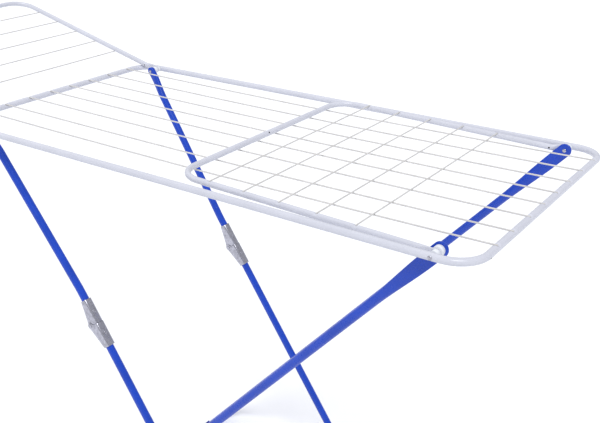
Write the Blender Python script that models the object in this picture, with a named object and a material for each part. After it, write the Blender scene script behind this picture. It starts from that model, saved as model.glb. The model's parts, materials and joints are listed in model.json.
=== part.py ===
"""Winged clothes drying rack on folding X legs.

Metres, +Z up, floor at z = 0. X runs along the rack, Y across it, and the origin lies on the floor
under the middle of the whole rack. The left wing stands open and the right wing lies folded on the
centre frame. Front is -Y, rear is +Y.
"""
import math

import bmesh
import bpy
from mathutils import Matrix, Vector

# Centre frame
FRAME_LENGTH = 1.124          # between the centrelines of the two end tubes
FRAME_WIDTH = 0.550           # between the centrelines of the two long tubes
FRAME_HEIGHT = 0.900          # of the frame's centre plane above the floor
FRAME_TUBE_R = 0.0065
FRAME_CORNER_R = 0.048
THIN_WALL = 0.0008
WIRE_R = 0.0014
WIRE_REST_Z = 0.0044          # of a wire's end above the frame's centre plane
WIRE_SAG = 0.005
WIRE_INSET = 0.0015           # of a wire's end from the end tube's centreline
WIRE_OFFSETS = (-0.200, -0.143, -0.080, -0.021, 0.034, 0.092, 0.152, 0.214)

# Wings
WING_HALF_WIDTH = 0.2555
WING_REACH = 0.483            # pivot to the centreline of the end tube
WING_TUBE_R = 0.0055
WING_CORNER_R = 0.047
WING_RISE = 0.0024            # of the tube's axis over its pivot
WING_OPEN_ANGLE = math.radians(13.8)
WING_FOLDED_ANGLE = math.radians(1.43)
WING_WIRE_R = 0.00125
WING_WIRE_DEPTH = 0.0044      # of the wires under the tube's axis
WING_WIRE_FIRST = 0.1332
WING_WIRE_PITCH = 0.0695
WING_WIRE_COUNT = 5
WING_TAB_Y = 0.25935
WING_TAB_HALF_THICK = 0.00165
WING_TAB_HALF_WIDTH = 0.0075

# Legs
RIGHT_PIVOT_INSET = 0.0615    # from an end tube's centreline to the pivots beside it
LEFT_PIVOT_INSET = 0.0535
LEG_TUBE_R = 0.008
LEG_WALL = 0.0009
RIGHT_LEG_Y = 0.241
LEFT_UPPER_Y = 0.238
LEFT_LOWER_Y = 0.2215
RIGHT_LEG_SLOPE = math.radians(47.8)
LEFT_LEG_SLOPE = math.radians(55.88)
FLOOR_BAR_HEIGHT = 0.0115
FLOOR_BAR_CORNER_R = 0.060
RIGHT_TAB_Y = 0.2473
RIGHT_TAB_HALF_THICK = 0.0023
RIGHT_TAB_HALF_WIDTH = 0.0121
LEFT_TAB_Y = 0.2443
LEFT_TAB_HALF_THICK = 0.0050
LEFT_TAB_HALF_WIDTH = 0.0090
KNEE_AT = 0.46012             # left pivot to the knee, along the leg
KNEE_STRAIGHT = 0.068         # stretch above the knee that runs parallel to the lower leg

# Knee joint
KNEE_PIN_OFFSET = 0.0135      # of the pin outside the leg's axis
KNEE_PIN_R = 0.0025
KNEE_CHANNEL = 0.052          # length of each channel
KNEE_SHEET = 0.0011
KNEE_WEB_DEPTH = 0.0083
KNEE_LOBE_R = 0.0068
UPPER_CHANNEL_HALF = 0.0097
LOWER_CHANNEL_HALF = 0.0083
BRACKET_RIVET_FROM_KNEE = 0.024
BRACKET_RIVET_R = 0.0020
BRACKET_HEAD_R = 0.0034
BRACKET_HEAD_HEIGHT = 0.0010
CHEEK_NOTCH_W = -0.0105       # where a cheek's end leaves the straight cut for the lobe
CHEEK_WAIST = (-0.026, -0.0010)
CHEEK_END_W = -0.0085         # of a cheek's free edge at the channel's far end
LOBE_START = math.radians(-45)
LOBE_STEPS = 7

# Rivets, spacers and feet
RIVET_R = 0.0028
RIVET_HEAD_R = 0.0044
RIVET_HEAD_HEIGHT = 0.0015
CROSSING_HEAD_R = 0.0050
CROSSING_HEAD_HEIGHT = 0.0020
PIN_HEAD_R = 0.0045
PIN_HEAD_HEIGHT = 0.0011
SPACER_R = 0.0060
CROSSING_SPACER_R = 0.0065
SPACER_CLEARANCE = 0.0008     # to the frame tube, which starts to bend beside the pivot
FOOT_LENGTH = 0.040
FOOT_R = 0.0113
FOOT_FROM_CORNER = 0.030
FOOT_BASE_HALF = 0.0135
FOOT_SIDE_HALF = 0.0125
FOOT_SIDE_HEIGHT = 0.004
FOOT_SIDE_TURN = math.radians(-8)    # where the side meets the round of the clip
FOOT_SLOT_TURN = math.radians(58)    # of the slot's edges on top

FIT = 0.0003                  # gap between neighbours
HOLE_MARGIN = 0.010           # that a hole's tool reaches past the tube's axis
SPLIT_GAP = 0.0004            # in the crossing rivets, where the linkage opens
BORE_START = 5                # stations of a pressed tab that stay solid

# Stretches along a tube where a pressed tab is flat, and where the tube is round again
WING_TAB_FLAT = 0.009
WING_TAB_ROUND = 0.026
RIGHT_TAB_FLAT = 0.020
RIGHT_TAB_ROUND = 0.125
LEFT_TAB_FLAT = 0.012
LEFT_TAB_ROUND = 0.070
KNEE_BEND = 0.012             # half the length of the soft bend above the knee
TUBE_SIDES = 10
ROUND_SIDES = 10              # of rivets, spacers and holes
CORNER_STEPS = 5

# Pivot places that follow from the sizes above
LEFT_TIP_REACH = (WING_REACH * math.cos(WING_OPEN_ANGLE) - WING_RISE * math.sin(WING_OPEN_ANGLE)
                  + WING_TUBE_R)
OVERALL_LENGTH = FRAME_TUBE_R + FRAME_LENGTH - LEFT_PIVOT_INSET + LEFT_TIP_REACH
RIGHT_END_X = OVERALL_LENGTH / 2 - FRAME_TUBE_R
LEFT_END_X = RIGHT_END_X - FRAME_LENGTH
RIGHT_PIVOT_X = RIGHT_END_X - RIGHT_PIVOT_INSET
LEFT_PIVOT_X = LEFT_END_X + LEFT_PIVOT_INSET
PIVOT_SPAN = RIGHT_PIVOT_X - LEFT_PIVOT_X
APEX = math.pi - RIGHT_LEG_SLOPE - LEFT_LEG_SLOPE
RIGHT_CROSSING = PIVOT_SPAN * math.sin(LEFT_LEG_SLOPE) / math.sin(APEX)
LEFT_CROSSING = PIVOT_SPAN * math.sin(RIGHT_LEG_SLOPE) / math.sin(APEX)
RIGHT_LEG_END = (FRAME_HEIGHT - FLOOR_BAR_HEIGHT) / math.sin(RIGHT_LEG_SLOPE)
LEFT_LEG_END = (FRAME_HEIGHT - FLOOR_BAR_HEIGHT) / math.sin(LEFT_LEG_SLOPE)


def clear_scene():
    for old in list(bpy.data.objects):
        bpy.data.objects.remove(old, do_unlink=True)


def principled(name, colour, roughness, metallic):
    material = bpy.data.materials.new(name)
    material.use_nodes = True
    shader = material.node_tree.nodes["Principled BSDF"]
    shader.inputs["Base Color"].default_value = (*colour, 1.0)
    shader.inputs["Roughness"].default_value = roughness
    shader.inputs["Metallic"].default_value = metallic
    return material


FINISHES = {
    "white_paint": ((0.66, 0.67, 0.74), 0.35, 0.0),
    "wire_paint": ((0.60, 0.61, 0.63), 0.40, 0.0),
    "blue_paint": ((0.03, 0.085, 0.53), 0.35, 0.0),
    "zinc_steel": ((0.55, 0.55, 0.58), 0.35, 1.0),
    "white_plastic": ((0.75, 0.76, 0.78), 0.45, 0.0),
    "blue_plastic": ((0.02, 0.05, 0.30), 0.50, 0.0),
}


def add_object(name, mesh_builder, finish, parent, world=None):
    """Make one named solid. Its mesh is in its parent's axes, or in its own where world is given."""
    builder = bmesh.new()
    mesh_builder(builder)
    bmesh.ops.recalc_face_normals(builder, faces=builder.faces)
    mesh = bpy.data.meshes.new(name)
    builder.to_mesh(mesh)
    builder.free()
    mesh.shade_smooth()
    mesh.set_sharp_from_angle(angle=math.radians(40))
    item = bpy.data.objects.new(name, mesh)
    bpy.context.collection.objects.link(item)
    item.data.materials.append(principled(name, *FINISHES[finish]))
    item.parent = parent
    if world is not None:
        item.matrix_parent_inverse = parent.matrix_world.inverted()
        item.matrix_basis = world
    return item


def add_hinge_frame(name, origin, along, across):
    """An empty on a joint's axis: local X along the piece, local Y across it, local Z its normal."""
    along = Vector(along).normalized()
    across = Vector(across).normalized()
    normal = along.cross(across)
    empty = bpy.data.objects.new(name, None)
    bpy.context.collection.objects.link(empty)
    axes = Matrix((along, across, normal)).transposed().to_4x4()
    empty.matrix_world = Matrix.Translation(Vector(origin)) @ axes
    return empty


def signed_power(value, power):
    return math.copysign(abs(value) ** power, value)


def section(u, v, heading, w, half_across, half_normal, squareness=1.0):
    """A tube section in the u-v plane. half_across lies in that plane, half_normal along w."""
    side = Vector((math.sin(heading), -math.cos(heading), 0.0))
    ring = []
    for k in range(TUBE_SIDES):
        turn = 2 * math.pi * k / TUBE_SIDES
        across = half_across * signed_power(math.cos(turn), squareness)
        normal = half_normal * signed_power(math.sin(turn), squareness)
        ring.append(Vector((u, v, w)) + side * across + Vector((0, 0, normal)))
    return ring


def skin(builder, rings, closed=False):
    """Quads between neighbouring rings. Returns the rings as vertices."""
    grid = [[builder.verts.new(point) for point in ring] for ring in rings]
    pairs = list(zip(grid, grid[1:]))
    if closed:
        pairs.append((grid[-1], grid[0]))
    for near, far in pairs:
        for k in range(len(near)):
            after = (k + 1) % len(near)
            builder.faces.new((near[k], near[after], far[after], far[k]))
    return grid


def cap(builder, ring):
    builder.faces.new(ring)


def join_rims(builder, outer, inner):
    for k in range(len(outer)):
        after = (k + 1) % len(outer)
        builder.faces.new((outer[k], outer[after], inner[after], inner[k]))


def arc(centre_u, centre_v, radius, start, stop):
    """(u, v, heading) along a counter-clockwise arc."""
    stations = []
    for k in range(CORNER_STEPS + 1):
        turn = start + (stop - start) * k / CORNER_STEPS
        heading = turn + math.pi / 2
        stations.append((centre_u + radius * math.cos(turn), centre_v + radius * math.sin(turn), heading))
    return stations


def circle_points(radius):
    turns = [2 * math.pi * k / ROUND_SIDES for k in range(ROUND_SIDES)]
    return [(radius * math.cos(turn), radius * math.sin(turn)) for turn in turns]


def add_cutter(name, parent, rods):
    """One hidden tool of several rods. Each rod is (start, end, radius) in the parent's axes."""
    builder = bmesh.new()
    for start, end, radius in rods:
        start, end = Vector(start), Vector(end)
        turn = (end - start).to_track_quat("Z", "Y").to_matrix()
        loops = []
        for base in (start, end):
            loops.append([base + turn @ Vector((x, y, 0)) for x, y in circle_points(radius)])
        grid = skin(builder, loops)
        cap(builder, grid[0])
        cap(builder, grid[1])
    bmesh.ops.recalc_face_normals(builder, faces=builder.faces)
    return finish_cutter(name, builder, parent)


def finish_cutter(name, builder, parent):
    mesh = bpy.data.meshes.new(name)
    builder.to_mesh(mesh)
    builder.free()
    tool = bpy.data.objects.new(name, mesh)
    bpy.context.collection.objects.link(tool)
    tool.parent = parent
    tool.hide_render = True
    tool.display_type = "WIRE"
    return tool


def cut(item, tool):
    boolean = item.modifiers.new(tool.name, "BOOLEAN")
    boolean.operation = "DIFFERENCE"
    boolean.solver = "EXACT"
    boolean.object = tool


def add_tube(name, stations, wall, finish, parent, closed=False, inner=None, open_ends=(False, False)):
    """A hollow tube through (u, v, heading, w, half_across, half_normal, squareness) stations.

    inner gives the stations that the bore runs through; an open end needs the bore to reach it.
    """
    builder = bmesh.new()
    outer_grid = skin(builder, [section(*station) for station in stations], closed)
    if not closed:
        if not open_ends[0]:
            cap(builder, outer_grid[0])
        if not open_ends[1]:
            cap(builder, outer_grid[-1])
    bore = []
    for u, v, heading, w, half_across, half_normal, squareness in (inner or stations):
        bore.append(section(u, v, heading, w, half_across - wall, half_normal - wall, squareness))
    inner_grid = skin(builder, bore, closed)
    if not closed:
        for end, index in ((0, 0), (1, -1)):
            if open_ends[end]:
                join_rims(builder, outer_grid[index], inner_grid[index])
            else:
                cap(builder, inner_grid[index])
    outer_verts = {vert for ring in outer_grid for vert in ring}
    inner_verts = {vert for ring in inner_grid for vert in ring}
    builder.normal_update()
    bmesh.ops.recalc_face_normals(builder, faces=[f for f in builder.faces if set(f.verts) <= outer_verts])
    bore_faces = [f for f in builder.faces if set(f.verts) <= inner_verts]
    if not any(open_ends):
        bmesh.ops.recalc_face_normals(builder, faces=bore_faces)
        bmesh.ops.reverse_faces(builder, faces=bore_faces)
    else:
        bmesh.ops.recalc_face_normals(builder, faces=builder.faces)
    mesh = bpy.data.meshes.new(name)
    builder.to_mesh(mesh)
    builder.free()
    mesh.shade_smooth()
    mesh.set_sharp_from_angle(angle=math.radians(40))
    item = bpy.data.objects.new(name, mesh)
    bpy.context.collection.objects.link(item)
    item.data.materials.append(principled(name, *FINISHES[finish]))
    item.parent = parent
    return item


def round_stations(points, radius, w=0.0):
    return [(u, v, heading, w, radius, radius, 1.0) for u, v, heading in points]


def lathe(profile):
    """A mesh builder for a solid turned about local Y from (radius, y) points, closed at both ends."""
    def build(builder):
        rings = []
        for radius, y in profile:
            rings.append([Vector((x, y, z)) for x, z in circle_points(radius)])
        grid = skin(builder, rings)
        cap(builder, grid[0])
        cap(builder, grid[-1])
    return build


def washer(inner, outer, start, stop):
    """A mesh builder for a plain ring about local Y."""
    def build(builder):
        corners = ((inner, start), (outer, start), (outer, stop), (inner, stop))
        rings = []
        for radius, y in corners:
            rings.append([Vector((x, y, z)) for x, z in circle_points(radius)])
        skin(builder, rings, closed=True)
    return build


def domed_head(radius, face, height, outward):
    """(radius, y) points of a domed head whose flat side is at y = face."""
    return [(radius, face), (radius * 0.92, face + outward * height * 0.55),
            (radius * 0.55, face + outward * height * 0.9), (radius * 0.15, face + outward * height)]


def mirrored(profile, side):
    """The same profile on the front (-1) or rear (1) side."""
    return [(radius, y * side) for radius, y in profile]


def hole_across(u, v, w, radius):
    """A rod along local Y that bores a tube or tab at v from side to side."""
    return ((u, v - HOLE_MARGIN, w), (u, v + HOLE_MARGIN, w), radius + FIT)


def hole_through_wall(u, v, w):
    """A rod along local Z that bores only the tube's wall on the knee channel's side."""
    return ((u, v, w - HOLE_MARGIN), (u, v, w - LEG_TUBE_R / 4), BRACKET_RIVET_R + FIT)


def add_centre_frame(root):
    half = FRAME_WIDTH / 2
    inner_u = FRAME_LENGTH / 2 - FRAME_CORNER_R
    inner_v = half - FRAME_CORNER_R
    path = []
    for quarter, (su, sv) in enumerate(((1, 1), (-1, 1), (-1, -1), (1, -1))):
        start = quarter * math.pi / 2
        path += arc(su * inner_u, sv * inner_v, FRAME_CORNER_R, start, start + math.pi / 2)
    frame = add_tube("centre_frame_tube", round_stations(path, FRAME_TUBE_R), THIN_WALL, "white_paint", root,
                     closed=True)
    end_u = FRAME_LENGTH / 2
    rods = []
    for offset in WIRE_OFFSETS:
        for side in (-1, 1):
            rods.append(((side * (end_u - HOLE_MARGIN), offset, WIRE_REST_Z),
                         (side * (end_u - WIRE_INSET + 2 * FIT), offset, WIRE_REST_Z), WIRE_R + FIT))
    for u in (end_u - RIGHT_PIVOT_INSET, LEFT_PIVOT_INSET - end_u):
        for side in (-1, 1):
            rods.append(hole_across(u, side * half, 0, RIVET_R))
    cut(frame, add_cutter("centre_frame_holes", root, rods))


def add_wire(name, start, end, sag, radius, finish, parent, points=9):
    """A drying wire between two points; it hangs by sag in the middle."""
    curve = bpy.data.curves.new(name, "CURVE")
    curve.dimensions = "3D"
    curve.bevel_depth = radius
    curve.bevel_resolution = 1
    curve.use_fill_caps = True
    spline = curve.splines.new("POLY")
    spline.points.add(points - 1)
    start, end = Vector(start), Vector(end)
    for k, point in enumerate(spline.points):
        t = k / (points - 1)
        place = start.lerp(end, t) - Vector((0, 0, 4 * sag * t * (1 - t)))
        point.co = (*place, 1.0)
    wire = bpy.data.objects.new(name, curve)
    bpy.context.collection.objects.link(wire)
    wire.data.materials.append(principled(name, *FINISHES[finish]))
    wire.parent = parent


def add_centre_wires(root):
    reach = FRAME_LENGTH / 2 - WIRE_INSET
    for number, offset in enumerate(WIRE_OFFSETS, start=1):
        add_wire(f"centre_wire_{number}", (-reach, offset, WIRE_REST_Z), (reach, offset, WIRE_REST_Z),
                 WIRE_SAG, WIRE_R, "wire_paint", root)


def tab_blend(u, flat_until, round_from):
    """0 on the flattened end, 1 on the round tube, with a soft change between."""
    t = min(max((u - flat_until) / (round_from - flat_until), 0.0), 1.0)
    return t * t * (3 - 2 * t)


def tab_end_stations(side, w, tab_y, tab_thick, tab_width, tube_y, tube_r, flat_until, round_from, steps):
    """Stations from a pressed tab's rounded end to the round tube, on the front or rear side."""
    stations = []
    for k in range(1, 4):
        turn = math.radians(25 * k)
        stations.append((-tab_width * math.cos(turn), side * tab_y, 0.0, w,
                         tab_thick, tab_width * math.sin(turn), 0.8))
    for k in range(steps + 1):
        u = flat_until + (round_from - flat_until) * k / steps
        blend = tab_blend(u, flat_until, round_from)
        y = tab_y + (tube_y - tab_y) * blend
        thick = tab_thick + (tube_r - tab_thick) * blend
        width = tab_width + (tube_r - tab_width) * blend
        stations.append((u, side * y, 0.0, w, thick, width, 0.8 + 0.2 * blend))
    return stations


def turned_about(stations):
    """The same stations walked the other way."""
    return [(u, v, heading + math.pi, w, a, n, s) for u, v, heading, w, a, n, s in reversed(stations)]


def add_wing(name, hinge):
    def tab(side):
        return tab_end_stations(side, WING_RISE, WING_TAB_Y, WING_TAB_HALF_THICK, WING_TAB_HALF_WIDTH,
                                WING_HALF_WIDTH, WING_TUBE_R, WING_TAB_FLAT, WING_TAB_ROUND, 4)

    corner_u = WING_REACH - WING_CORNER_R
    corner_v = WING_HALF_WIDTH - WING_CORNER_R
    bends = arc(corner_u, -corner_v, WING_CORNER_R, -math.pi / 2, 0)
    bends += arc(corner_u, corner_v, WING_CORNER_R, 0, math.pi / 2)
    middle = round_stations(bends, WING_TUBE_R, WING_RISE)
    stations = tab(-1) + middle + turned_about(tab(1))
    tube = add_tube(f"{name}_tube", stations, THIN_WALL, "white_paint", hinge,
                    inner=stations[BORE_START:-BORE_START])
    wire_w = WING_RISE - WING_WIRE_DEPTH
    rods = [hole_across(0, side * WING_TAB_Y, 0, RIVET_R) for side in (-1, 1)]
    wire_reach = WING_HALF_WIDTH + WING_WIRE_R
    for k in range(WING_WIRE_COUNT):
        u = WING_WIRE_FIRST + WING_WIRE_PITCH * k
        for side in (-1, 1):
            rods.append(((u, side * (wire_reach - HOLE_MARGIN), wire_w),
                         (u, side * (wire_reach + 2 * FIT), wire_w), WING_WIRE_R + FIT))
    cut(tube, add_cutter(f"{name}_holes", hinge, rods))
    for k in range(WING_WIRE_COUNT):
        u = WING_WIRE_FIRST + WING_WIRE_PITCH * k
        add_wire(f"{name}_wire_{k + 1}", (u, -wire_reach, wire_w), (u, wire_reach, wire_w), 0.0, WING_WIRE_R,
                 "wire_paint", hinge, points=3)


def floor_bar_bends(reach, half_width):
    corner_u = reach - FLOOR_BAR_CORNER_R
    corner_v = half_width - FLOOR_BAR_CORNER_R
    bends = arc(corner_u, -corner_v, FLOOR_BAR_CORNER_R, -math.pi / 2, 0)
    return bends + arc(corner_u, corner_v, FLOOR_BAR_CORNER_R, 0, math.pi / 2)


def add_right_legs(hinge):
    def tab(side):
        return tab_end_stations(side, 0.0, RIGHT_TAB_Y, RIGHT_TAB_HALF_THICK, RIGHT_TAB_HALF_WIDTH,
                                RIGHT_LEG_Y, LEG_TUBE_R, RIGHT_TAB_FLAT, RIGHT_TAB_ROUND, 7)

    middle = round_stations(floor_bar_bends(RIGHT_LEG_END, RIGHT_LEG_Y), LEG_TUBE_R)
    stations = tab(-1) + middle + turned_about(tab(1))
    tube = add_tube("right_leg_tube", stations, LEG_WALL, "blue_paint", hinge,
                    inner=stations[BORE_START:-BORE_START])
    rods = []
    for side in (-1, 1):
        rods.append(hole_across(0, side * RIGHT_TAB_Y, 0, RIVET_R))
        rods.append(hole_across(RIGHT_CROSSING, side * RIGHT_LEG_Y, 0, RIVET_R))
    cut(tube, add_cutter("right_leg_holes", hinge, rods))


def add_left_upper_leg(name, side, hinge):
    """side is the sign of the hinge frame's own Y axis."""
    stations = tab_end_stations(side, 0.0, LEFT_TAB_Y, LEFT_TAB_HALF_THICK, LEFT_TAB_HALF_WIDTH,
                                LEFT_UPPER_Y, LEG_TUBE_R, LEFT_TAB_FLAT, LEFT_TAB_ROUND, 4)
    bend_u = KNEE_AT - KNEE_STRAIGHT
    tilt = math.atan2(LEFT_LOWER_Y - LEFT_UPPER_Y, bend_u - LEFT_TAB_ROUND)
    before_bend = LEFT_LOWER_Y - KNEE_BEND * math.tan(tilt)
    for u, y, heading in ((bend_u - KNEE_BEND, before_bend, side * tilt),
                          (bend_u + KNEE_BEND, LEFT_LOWER_Y, 0.0),
                          (KNEE_AT - 2 * FIT, LEFT_LOWER_Y, 0.0)):
        stations.append((u, side * y, heading, 0.0, LEG_TUBE_R, LEG_TUBE_R, 1.0))
    tube = add_tube(name, stations, LEG_WALL, "blue_paint", hinge, inner=stations[BORE_START - 1:],
                    open_ends=(False, True))
    rods = [hole_across(0, side * LEFT_TAB_Y, 0, RIVET_R),
            hole_through_wall(KNEE_AT - BRACKET_RIVET_FROM_KNEE, side * LEFT_LOWER_Y, 0)]
    cut(tube, add_cutter(f"{name}_holes", hinge, rods))


def add_left_lower_leg(hinge):
    """The hinge frame lies on the knee pins, KNEE_PIN_OFFSET outside the tube's axis."""
    w = -KNEE_PIN_OFFSET
    middle = round_stations(floor_bar_bends(LEFT_LEG_END - KNEE_AT, LEFT_LOWER_Y), LEG_TUBE_R, w)
    start = (2 * FIT, -LEFT_LOWER_Y, 0.0, w, LEG_TUBE_R, LEG_TUBE_R, 1.0)
    stop = (2 * FIT, LEFT_LOWER_Y, math.pi, w, LEG_TUBE_R, LEG_TUBE_R, 1.0)
    tube = add_tube("left_lower_leg_tube", [start] + middle + [stop], LEG_WALL, "blue_paint", hinge,
                    open_ends=(True, True))
    rods = []
    crossing_u = LEFT_CROSSING - KNEE_AT
    for side in (-1, 1):
        rods.append(hole_through_wall(BRACKET_RIVET_FROM_KNEE, side * LEFT_LOWER_Y, w))
        rods.append(hole_across(crossing_u, side * LEFT_LOWER_Y, w, RIVET_R))
    cut(tube, add_cutter("left_lower_leg_holes", hinge, rods))


def add_knee_channel(name, side, hinge, direction, half_inside):
    """A pressed channel: web on the legs' inner side, two cheeks that reach round the pin.

    direction is -1 for the upper channel and 1 for the lower one, in the knee hinge's axes.
    """
    web_w = -KNEE_PIN_OFFSET - KNEE_WEB_DEPTH
    back_w = web_w - KNEE_SHEET
    outline = [(-KNEE_CHANNEL, back_w), (-2 * FIT, back_w), (-2 * FIT, CHEEK_NOTCH_W)]
    for k in range(LOBE_STEPS + 1):
        turn = LOBE_START + math.pi * k / LOBE_STEPS
        outline.append((KNEE_LOBE_R * math.cos(turn), KNEE_LOBE_R * math.sin(turn)))
    outline += [CHEEK_WAIST, (-KNEE_CHANNEL, CHEEK_END_W)]
    half_outside = half_inside + KNEE_SHEET

    def build(builder):
        loops = []
        for v in (-half_outside, half_outside):
            loops.append([Vector((-direction * u, side * LEFT_LOWER_Y + v, w)) for u, w in outline])
        grid = skin(builder, loops)
        cap(builder, grid[0])
        cap(builder, grid[1])

    channel = add_object(name, build, "zinc_steel", hinge)
    tool = bmesh.new()
    bmesh.ops.create_cube(tool, size=1.0)
    depth = KNEE_CHANNEL
    bmesh.ops.scale(tool, vec=(3 * KNEE_CHANNEL, 2 * half_inside, depth), verts=tool.verts)
    bmesh.ops.translate(tool, vec=(0, side * LEFT_LOWER_Y, web_w + depth / 2), verts=tool.verts)
    cut(channel, finish_cutter(f"{name}_inside", tool, hinge))
    rivet_u = direction * BRACKET_RIVET_FROM_KNEE
    y = side * LEFT_LOWER_Y
    reach = half_outside + HOLE_MARGIN
    rods = [((0, y - reach, 0), (0, y + reach, 0), KNEE_PIN_R + FIT),
            ((rivet_u, y, back_w - KNEE_SHEET), (rivet_u, y, web_w + KNEE_SHEET), BRACKET_RIVET_R + FIT)]
    cut(channel, add_cutter(f"{name}_holes", hinge, rods))


def add_bracket_rivet(name, side, hinge, u):
    """A short rivet through a channel's web into the tube, along the hinge frame's Z."""
    back_w = -KNEE_PIN_OFFSET - KNEE_WEB_DEPTH - KNEE_SHEET
    head_face = back_w - FIT
    profile = list(reversed(domed_head(BRACKET_HEAD_R, head_face, BRACKET_HEAD_HEIGHT, -1)))
    profile += [(BRACKET_RIVET_R, head_face), (BRACKET_RIVET_R, -KNEE_PIN_OFFSET - LEG_TUBE_R / 2)]

    def build(builder):
        rings = []
        for radius, w in profile:
            rings.append([Vector((u + x, side * LEFT_LOWER_Y + y, w)) for x, y in circle_points(radius)])
        grid = skin(builder, rings)
        cap(builder, grid[0])
        cap(builder, grid[-1])

    add_object(name, build, "zinc_steel", hinge)


def add_pivot_stack(end, end_name, side, side_name, root):
    """The rivet and two spacers that hold a wing tab and a leg tab to the frame."""
    x = end * (FRAME_LENGTH / 2 - (RIGHT_PIVOT_INSET if end > 0 else LEFT_PIVOT_INSET))
    frame_outside = FRAME_WIDTH / 2 + FRAME_TUBE_R
    leg_tab_inside = RIGHT_TAB_Y - RIGHT_TAB_HALF_THICK if end > 0 else LEFT_TAB_Y - LEFT_TAB_HALF_THICK
    leg_tab_outside = RIGHT_TAB_Y + RIGHT_TAB_HALF_THICK if end > 0 else LEFT_TAB_Y + LEFT_TAB_HALF_THICK
    wing_tab_inside = WING_TAB_Y - WING_TAB_HALF_THICK
    wing_tab_outside = WING_TAB_Y + WING_TAB_HALF_THICK
    outer_face = frame_outside + FIT
    inner_face = leg_tab_inside - FIT
    profile = list(reversed(domed_head(RIVET_HEAD_R, outer_face, RIVET_HEAD_HEIGHT, 1)))
    profile += [(RIVET_R, outer_face), (RIVET_R, inner_face)]
    profile += domed_head(RIVET_HEAD_R, inner_face, RIVET_HEAD_HEIGHT, -1)
    place = Matrix.Translation(root.matrix_world @ Vector((x, 0, 0)))
    tag = f"{end_name}_{side_name}"
    add_object(f"pivot_rivet_{tag}", lathe(mirrored(profile, side)), "zinc_steel", root, place)
    frame_inside = FRAME_WIDTH / 2 - FRAME_TUBE_R
    outer = washer(RIVET_R + FIT, SPACER_R, side * (wing_tab_outside + FIT),
                   side * (frame_inside - SPACER_CLEARANCE))
    add_object(f"outer_spacer_{tag}", outer, "white_plastic", root, place)
    inner = washer(RIVET_R + FIT, SPACER_R, side * (leg_tab_outside + FIT), side * (wing_tab_inside - FIT))
    add_object(f"inner_spacer_{tag}", inner, "white_plastic", root, place)


def add_knee_pin(name, side, hinge):
    head_face = UPPER_CHANNEL_HALF + KNEE_SHEET + FIT
    profile = list(reversed(domed_head(PIN_HEAD_R, head_face, PIN_HEAD_HEIGHT, 1)))
    profile += [(KNEE_PIN_R, head_face), (KNEE_PIN_R, -head_face)]
    profile += domed_head(PIN_HEAD_R, -head_face, PIN_HEAD_HEIGHT, -1)
    shifted = [(radius, side * LEFT_LOWER_Y + y) for radius, y in profile]
    knee = hinge.matrix_world @ Matrix.Translation((KNEE_AT, 0, KNEE_PIN_OFFSET))
    add_object(name, lathe(shifted), "zinc_steel", hinge, knee)


def add_crossing(side, side_name, right_hinge, lower_hinge):
    """The rivet where the legs cross. It is split in the gap between the tubes, where the linkage opens."""
    outer_face = RIGHT_LEG_Y + LEG_TUBE_R + FIT
    split = LEFT_LOWER_Y + LEG_TUBE_R
    profile = list(reversed(domed_head(CROSSING_HEAD_R, outer_face, CROSSING_HEAD_HEIGHT, 1)))
    profile += [(RIVET_R, outer_face), (RIVET_R, split + SPLIT_GAP)]
    right_place = right_hinge.matrix_world @ Matrix.Translation((RIGHT_CROSSING, 0, 0))
    add_object(f"crossing_rivet_{side_name}", lathe(mirrored(profile, side)), "zinc_steel", right_hinge,
               right_place)
    ring = washer(RIVET_R + FIT, CROSSING_SPACER_R, side * (split + SPLIT_GAP),
                  side * (RIGHT_LEG_Y - LEG_TUBE_R - FIT))
    add_object(f"crossing_spacer_{side_name}", ring, "white_plastic", right_hinge, right_place)
    inner_face = LEFT_LOWER_Y - LEG_TUBE_R - FIT
    tail = list(reversed(domed_head(CROSSING_HEAD_R, inner_face, CROSSING_HEAD_HEIGHT, -1)))
    tail += [(RIVET_R, inner_face), (RIVET_R, split)]
    # The lower leg's frame points its own Y axis to the front, so the side changes sign there.
    tail_place = lower_hinge.matrix_world @ Matrix.Translation((LEFT_CROSSING - KNEE_AT, 0, -KNEE_PIN_OFFSET))
    add_object(f"crossing_rivet_tail_{side_name}", lathe(mirrored(tail, -side)), "zinc_steel", lower_hinge,
               tail_place)


def foot_outline():
    """(x, z) of a clip-on foot's section: flat base, round bore, and a slot on top to clip over the bar."""
    bore_r = LEG_TUBE_R + FIT
    steps = 12
    outline = [(-FOOT_BASE_HALF, 0.0), (FOOT_BASE_HALF, 0.0), (FOOT_SIDE_HALF, FOOT_SIDE_HEIGHT)]
    for k in range(steps // 2 + 1):
        turn = FOOT_SIDE_TURN + (FOOT_SLOT_TURN - FOOT_SIDE_TURN) * k / (steps // 2)
        outline.append((FOOT_R * math.cos(turn), FLOOR_BAR_HEIGHT + FOOT_R * math.sin(turn)))
    for k in range(steps + 1):
        turn = FOOT_SLOT_TURN - (math.pi + 2 * FOOT_SLOT_TURN) * k / steps
        outline.append((bore_r * math.cos(turn), FLOOR_BAR_HEIGHT + bore_r * math.sin(turn)))
    for k in range(steps // 2 + 1):
        turn = math.pi - FOOT_SLOT_TURN + (FOOT_SLOT_TURN - FOOT_SIDE_TURN) * k / (steps // 2)
        outline.append((FOOT_R * math.cos(turn), FLOOR_BAR_HEIGHT + FOOT_R * math.sin(turn)))
    outline.append((-FOOT_SIDE_HALF, FOOT_SIDE_HEIGHT))
    return outline


def add_foot(name, x, y, hinge):
    def build(builder):
        loops = []
        for end in (-FOOT_LENGTH / 2, FOOT_LENGTH / 2):
            loops.append([Vector((px, end, pz)) for px, pz in foot_outline()])
        grid = skin(builder, loops)
        cap(builder, grid[0])
        cap(builder, grid[1])

    add_object(name, build, "blue_plastic", hinge, Matrix.Translation((x, y, 0)))


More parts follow.
